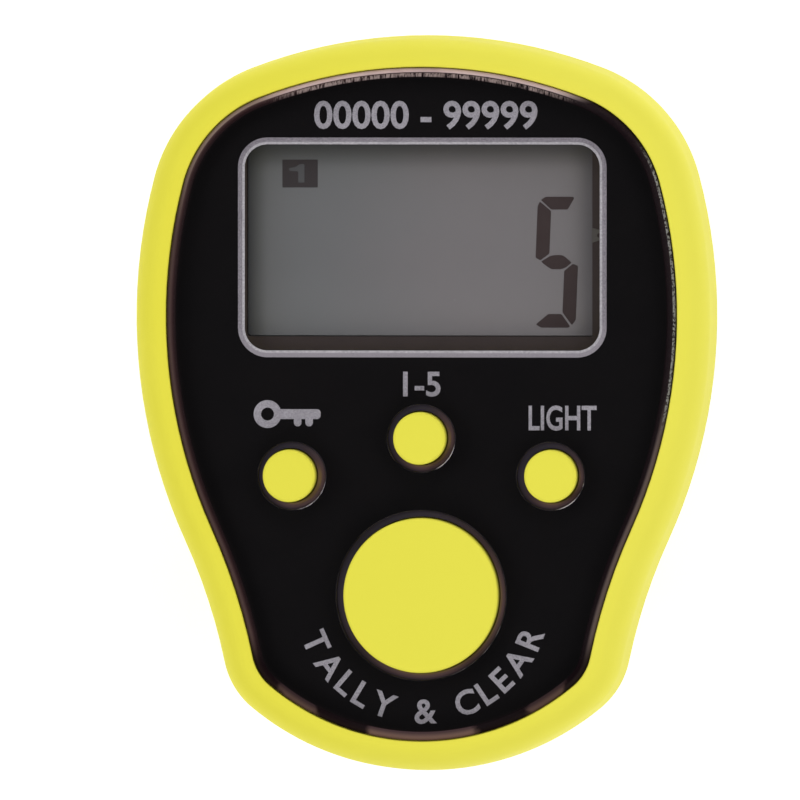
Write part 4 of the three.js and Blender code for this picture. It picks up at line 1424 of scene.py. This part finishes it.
# %% Display
def display_grey_painted_shade():
    finish = Finish("display grey painted shade", 0.32, mirror=0.3)
    noise, rise = finish.noise, finish.rise
    x, y, z = finish.millimetres()
    # Painted light and shade: lighter towards the right and the bottom, darker near the left, top
    # and right edges of the window.
    light = 0.79 + 0.13 * rise(x, -8.0, 3.0) + 0.08 * rise(y, 8.0, 4.5)
    painted_shade_left = 0.3 + 0.7 * rise(x, -10.1, -8.6)
    painted_shade_top = 0.55 + 0.45 * rise(y, 14.3, 12.9)
    painted_shade_right = 1 - 0.3 * rise(x, 8.0, 9.6)
    grain = noise(0.15, 2.0)
    tone = finish.layered(
        (0.204, 0.207, 0.213),
        (rise(x + 6 * noise(5.0, 2.0), -4.0, 6.0), (0.222, 0.207, 0.213)),
        (grain * 0.10, (0.25, 0.25, 0.25)),
    )
    finish.feed(rough=0.28 + 0.1 * grain, colour=finish.layered(
        (0.008, 0.008, 0.008),
        (light * painted_shade_left * painted_shade_top * painted_shade_right, tone),
        (finish.specks(1.6, 0.035, 0.12), (0.6, 0.6, 0.6)),
    ))
    return finish

# %% [markdown]
# Most other finishes are one idea with other numbers: two tones of a colour in a soft cloud, a
# gloss that changes with it, and a fine grain as a bump. That covers nickel-plated steel, gold
# leaf springs, a green board under its solder mask, cast resin, the display's inks and the plain
# white mouldings inside. The silicone of the band also has a soft skin and a trace of dust.

# %% Other finishes
def two_tone(name, dark, light, gloss, cloud, uneven=0.0, grain=None, metal=0.0):
    """Two tones in a cloud; uneven is how far the roughness runs, and grain a size and a depth"""
    finish = Finish(name, gloss, metal=metal)
    clouds = finish.noise(*cloud)
    finish.feed(colour=finish.mix(clouds, dark, light))
    if uneven:
        finish.feed(rough=gloss - uneven / 2 + uneven * clouds)
    if grain:
        size, depth = grain
        finish.bump(finish.noise(size, 2.0), depth)
    return finish


def metal(name, dark, light, gloss, scale=0.4):
    return two_tone(name, dark, light, gloss, (scale, 4.0, 0.6), 0.14, (0.05, 0.001), 1.0)


def plain(name, dark, light, gloss, scale=1.5):
    return two_tone(name, dark, light, gloss, (scale, 3.0, 0.55), 0.1, (scale / 8, 0.003))


def display_ink(name, dark, light):
    return two_tone(name, dark, light, 0.4, (0.8, 2.0))


def silicone_finish():
    finish = Finish("band silicone", 0.6)
    skin = finish.noise(0.12, 3.0, 0.6)
    dust = finish.noise(0.35, 4.0, 0.7) > 0.66
    body = finish.mix(finish.noise(5.0, 2.0), (0.028, 0.027, 0.029), (0.036, 0.035, 0.038))
    finish.feed(colour=finish.mix(dust * 0.35, body, (0.12, 0.12, 0.12)), rough=0.52 + 0.18 * skin)
    finish.bump(skin, 0.005)
    return finish


def glass_finish(name, tint):
    finish = Finish(name, 0.05, colour=(*tint, 1), metal=1.0)
    return finish.see_through(finish.edge_on(0.04) + 0.04 * finish.noise(2.0, 2.0), tint)

# %% [markdown]
# Every piece and every CAD node that stays in sight, even inside, gets its finish here. The plate
# has four: the polished top, the ground bevel, the underside and the holes.

# %% Dress the pieces
white = plain("white moulding", (0.72, 0.71, 0.66), (0.80, 0.79, 0.75), 0.45)
rubber = plain("black rubber", (0.016, 0.016, 0.017), (0.028, 0.028, 0.030), 0.75)
glass = glass_finish("display glass", (0.90, 0.94, 0.92))
steel = metal("bright steel", (0.50, 0.50, 0.51), (0.64, 0.64, 0.65), 0.30)
gold = metal("gold plate", (0.62, 0.42, 0.15), (0.74, 0.54, 0.24), 0.28)
gasket_brown = two_tone(
    "gasket brown", (0.029, 0.018, 0.018), (0.041, 0.026, 0.026), 0.7, (1.5, 2.0),
    grain=(0.1, 0.004),
)
PIECE_FINISHES = {
    "housing_shell": case_yellow,
    "cover_shell": case_yellow,
    "door_disc": case_yellow,
    "printed_film": black_ink_with_painted_rings(),
    "display_line": metallic_ink("line ink with painted highlight", (0.20, 0.18, 0.21), (0.35, 0.32, 0.355), 0.10, 0.2),
    "display_line_edge": metallic_ink(
        "line edge ink", (0.40, 0.38, 0.41), (0.62, 0.59, 0.62), 0.12,
    ),
    "printed_signs": metallic_ink("sign ink", (0.30, 0.28, 0.315), (0.48, 0.455, 0.50), 0.10),
    "figure_five": display_ink("figure brown", (0.040, 0.026, 0.026), (0.050, 0.034, 0.034)),
    "channel_box": display_ink("box ink", (0.038, 0.031, 0.034), (0.046, 0.038, 0.040)),
    "channel_number": display_ink("channel number", (0.075, 0.075, 0.08), (0.095, 0.095, 0.10)),
    "seal_edge": gasket_brown,
    "seal_gap": display_ink("seal gap", (0.09, 0.085, 0.08), (0.12, 0.11, 0.105)),
    "seal_drop": display_ink("seal drop", (0.03, 0.02, 0.02), (0.045, 0.03, 0.03)),
    "finger_band": silicone_finish(),
    **{f"{name}_cap": cap_yellow for name in BUTTONS},
    **{f"screw_{number}": steel for number in range(1, 5)},
}
NODE_FINISHES = {
    "front_filter": display_grey_painted_shade(),
    "display_gasket": gasket_brown,
    "connector_strip": rubber,
    "front_glass": glass,
    "rear_glass": glass,
    "rear_reflector": metal("silver foil", (0.42, 0.42, 0.44), (0.50, 0.50, 0.52), 0.38),
    "light_guide": plain("light guide", (0.74, 0.80, 0.76), (0.84, 0.88, 0.85), 0.2, 0.6),
    "circuit_board": plain("solder mask", (0.010, 0.075, 0.026), (0.018, 0.115, 0.040), 0.35, 0.9),
    "chip_blob": plain("cast resin", (0.008, 0.008, 0.009), (0.014, 0.014, 0.015), 0.3, 1.2),
    "battery_cell": metal("cell steel", (0.52, 0.52, 0.52), (0.66, 0.66, 0.66), 0.25, 0.8),
    "backlight_diode_left": white,
    "backlight_diode_right": white,
    "display_holder": white,
    "contact_negative": gold,
    "contact_positive": gold,
    **{f"{name}_stem": white for name in BUTTONS},
    **{f"{name}_switch": steel for name in BUTTONS},
}


def dress(thing, *finishes):
    thing.data.materials.clear()
    for finish in finishes:
        thing.data.materials.append(finish.material)


def plate_slot(face):
    """0 for the polished top, 1 for the bevel, 2 for the underside, 3 for the holes"""
    if face.normal.z > 0.99:
        return 0
    if face.normal.z < -0.9:
        return 2
    by_a_button = any(
        math.dist(face.center.xy / MM, (x, y)) < radius + HOLE_GAP + 2 * HOLE_FLARE
        for x, y, radius in BUTTONS.values()
    )
    return 3 if by_a_button else 1


for name, finish in PIECE_FINISHES.items():
    dress(pieces[name], finish)
for name, finish in NODE_FINISHES.items():
    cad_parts[name].material_slots[0].material = finish.material
dress(plate, clear_face_finish(), ground_edge_painted_reflections(), bonded_finish(), hole_edge_painted_highlight())
for face in plate.data.polygons:
    face.material_index = plate_slot(face)
print(len(bpy.data.materials), "materials")

# %% [markdown]
# The photograph looks almost straight down on the face, from far away with a long lens, a little
# from the right and from above the display. The camera is set by its aim and its distance: at the
# height of the case's widest line, one pixel is a known part of a millimetre.

# %% Camera
PIXEL = 0.055772
AIM = (-27.8 * PIXEL, 2.7 * PIXEL, 22.8)
DISTANCE = 1500.0
TILT_X = math.radians(3.75)
TILT_Y = math.radians(1.2)
IMAGE = 800
SENSOR = 36.0


def add_camera():
    data = bpy.data.cameras.new("camera")
    data.sensor_width = SENSOR
    data.lens = SENSOR * DISTANCE / (IMAGE * PIXEL)
    data.clip_start = 0.01
    data.clip_end = 10.0
    camera = linked("camera", data)
    away = Vector((math.sin(TILT_X), math.sin(TILT_Y), 1)).normalized()
    camera.location = (Vector(AIM) + DISTANCE * away) * MM
    right = ALONG.cross(away).normalized()
    up = away.cross(right)
    camera.rotation_euler = Matrix((right, up, away)).transposed().to_euler()
    bpy.context.scene.camera = camera
    print("lens", round(data.lens, 1), "mm")


add_camera()

# %% [markdown]
# The counter stands on a plain pale floor under soft studio light. Large lamps stand round it and
# leave the sky above it dark, because the clear face mirrors what is straight above. A lamp low
# behind the display lights the upper bevel, whose bright line is also painted into its colour.

# %% Floor and lights
WHITE = (1, 1, 1, 1)
FLOOR_SIZE = 3.0
FLOOR_GLOW = 0.35
SKY = 0.03
LAMP_DISTANCE = 0.9
LAMP_SIZE = 0.7
LAMPS = {
    "left lamp": ((-1, 0.15, 0.8), 4.05),
    "right lamp": ((1, 0.1, 0.8), 3.95),
    "back lamp": ((0.1, 1, 0.7), 3.6),
    "front lamp": ((0, -1, 0.7), 4.2),
}


def add_floor():
    bm = bmesh.new()
    bmesh.ops.create_grid(bm, x_segments=1, y_segments=1, size=FLOOR_SIZE)
    floor = linked("floor", mesh_of(bm, "floor"))
    finish = Finish("floor white", 0.9, colour=(0.9, 0.9, 0.9, 1))
    finish.shader.inputs["Emission Color"].default_value = WHITE
    finish.shader.inputs["Emission Strength"].default_value = FLOOR_GLOW
    dress(floor, finish)
    floor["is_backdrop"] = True


def add_lamp(name, direction, power):
    """A soft square lamp that looks at the counter from a direction"""
    data = bpy.data.lights.new(name, "AREA")
    data.shape = "SQUARE"
    data.size = LAMP_SIZE
    data.energy = power
    lamp = linked(name, data)
    towards = Vector(direction).normalized()
    lamp.location = towards * LAMP_DISTANCE
    lamp.rotation_euler = towards.to_track_quat("Z", "Y").to_euler()
    lamp.visible_camera = False


def add_world():
    world = bpy.data.worlds.new("studio")
    world.use_nodes = True
    background = world.node_tree.nodes["Background"]
    background.inputs["Color"].default_value = WHITE
    background.inputs["Strength"].default_value = SKY
    bpy.context.scene.world = world


add_floor()
add_world()
for name, (direction, power) in LAMPS.items():
    add_lamp(name, direction, power)
bpy.context.scene.view_settings.view_transform = "Standard"

# %% [markdown]
# The size of the dressed model is written beside the size of the CAD model. They have to agree.

# %% Sizes
def corners(box):
    return [list(corner) for corner in box]


{"cad": corners(cad_box), "visual": corners(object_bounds())}
print("cad", corners(cad_box), "visual", corners(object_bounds()))
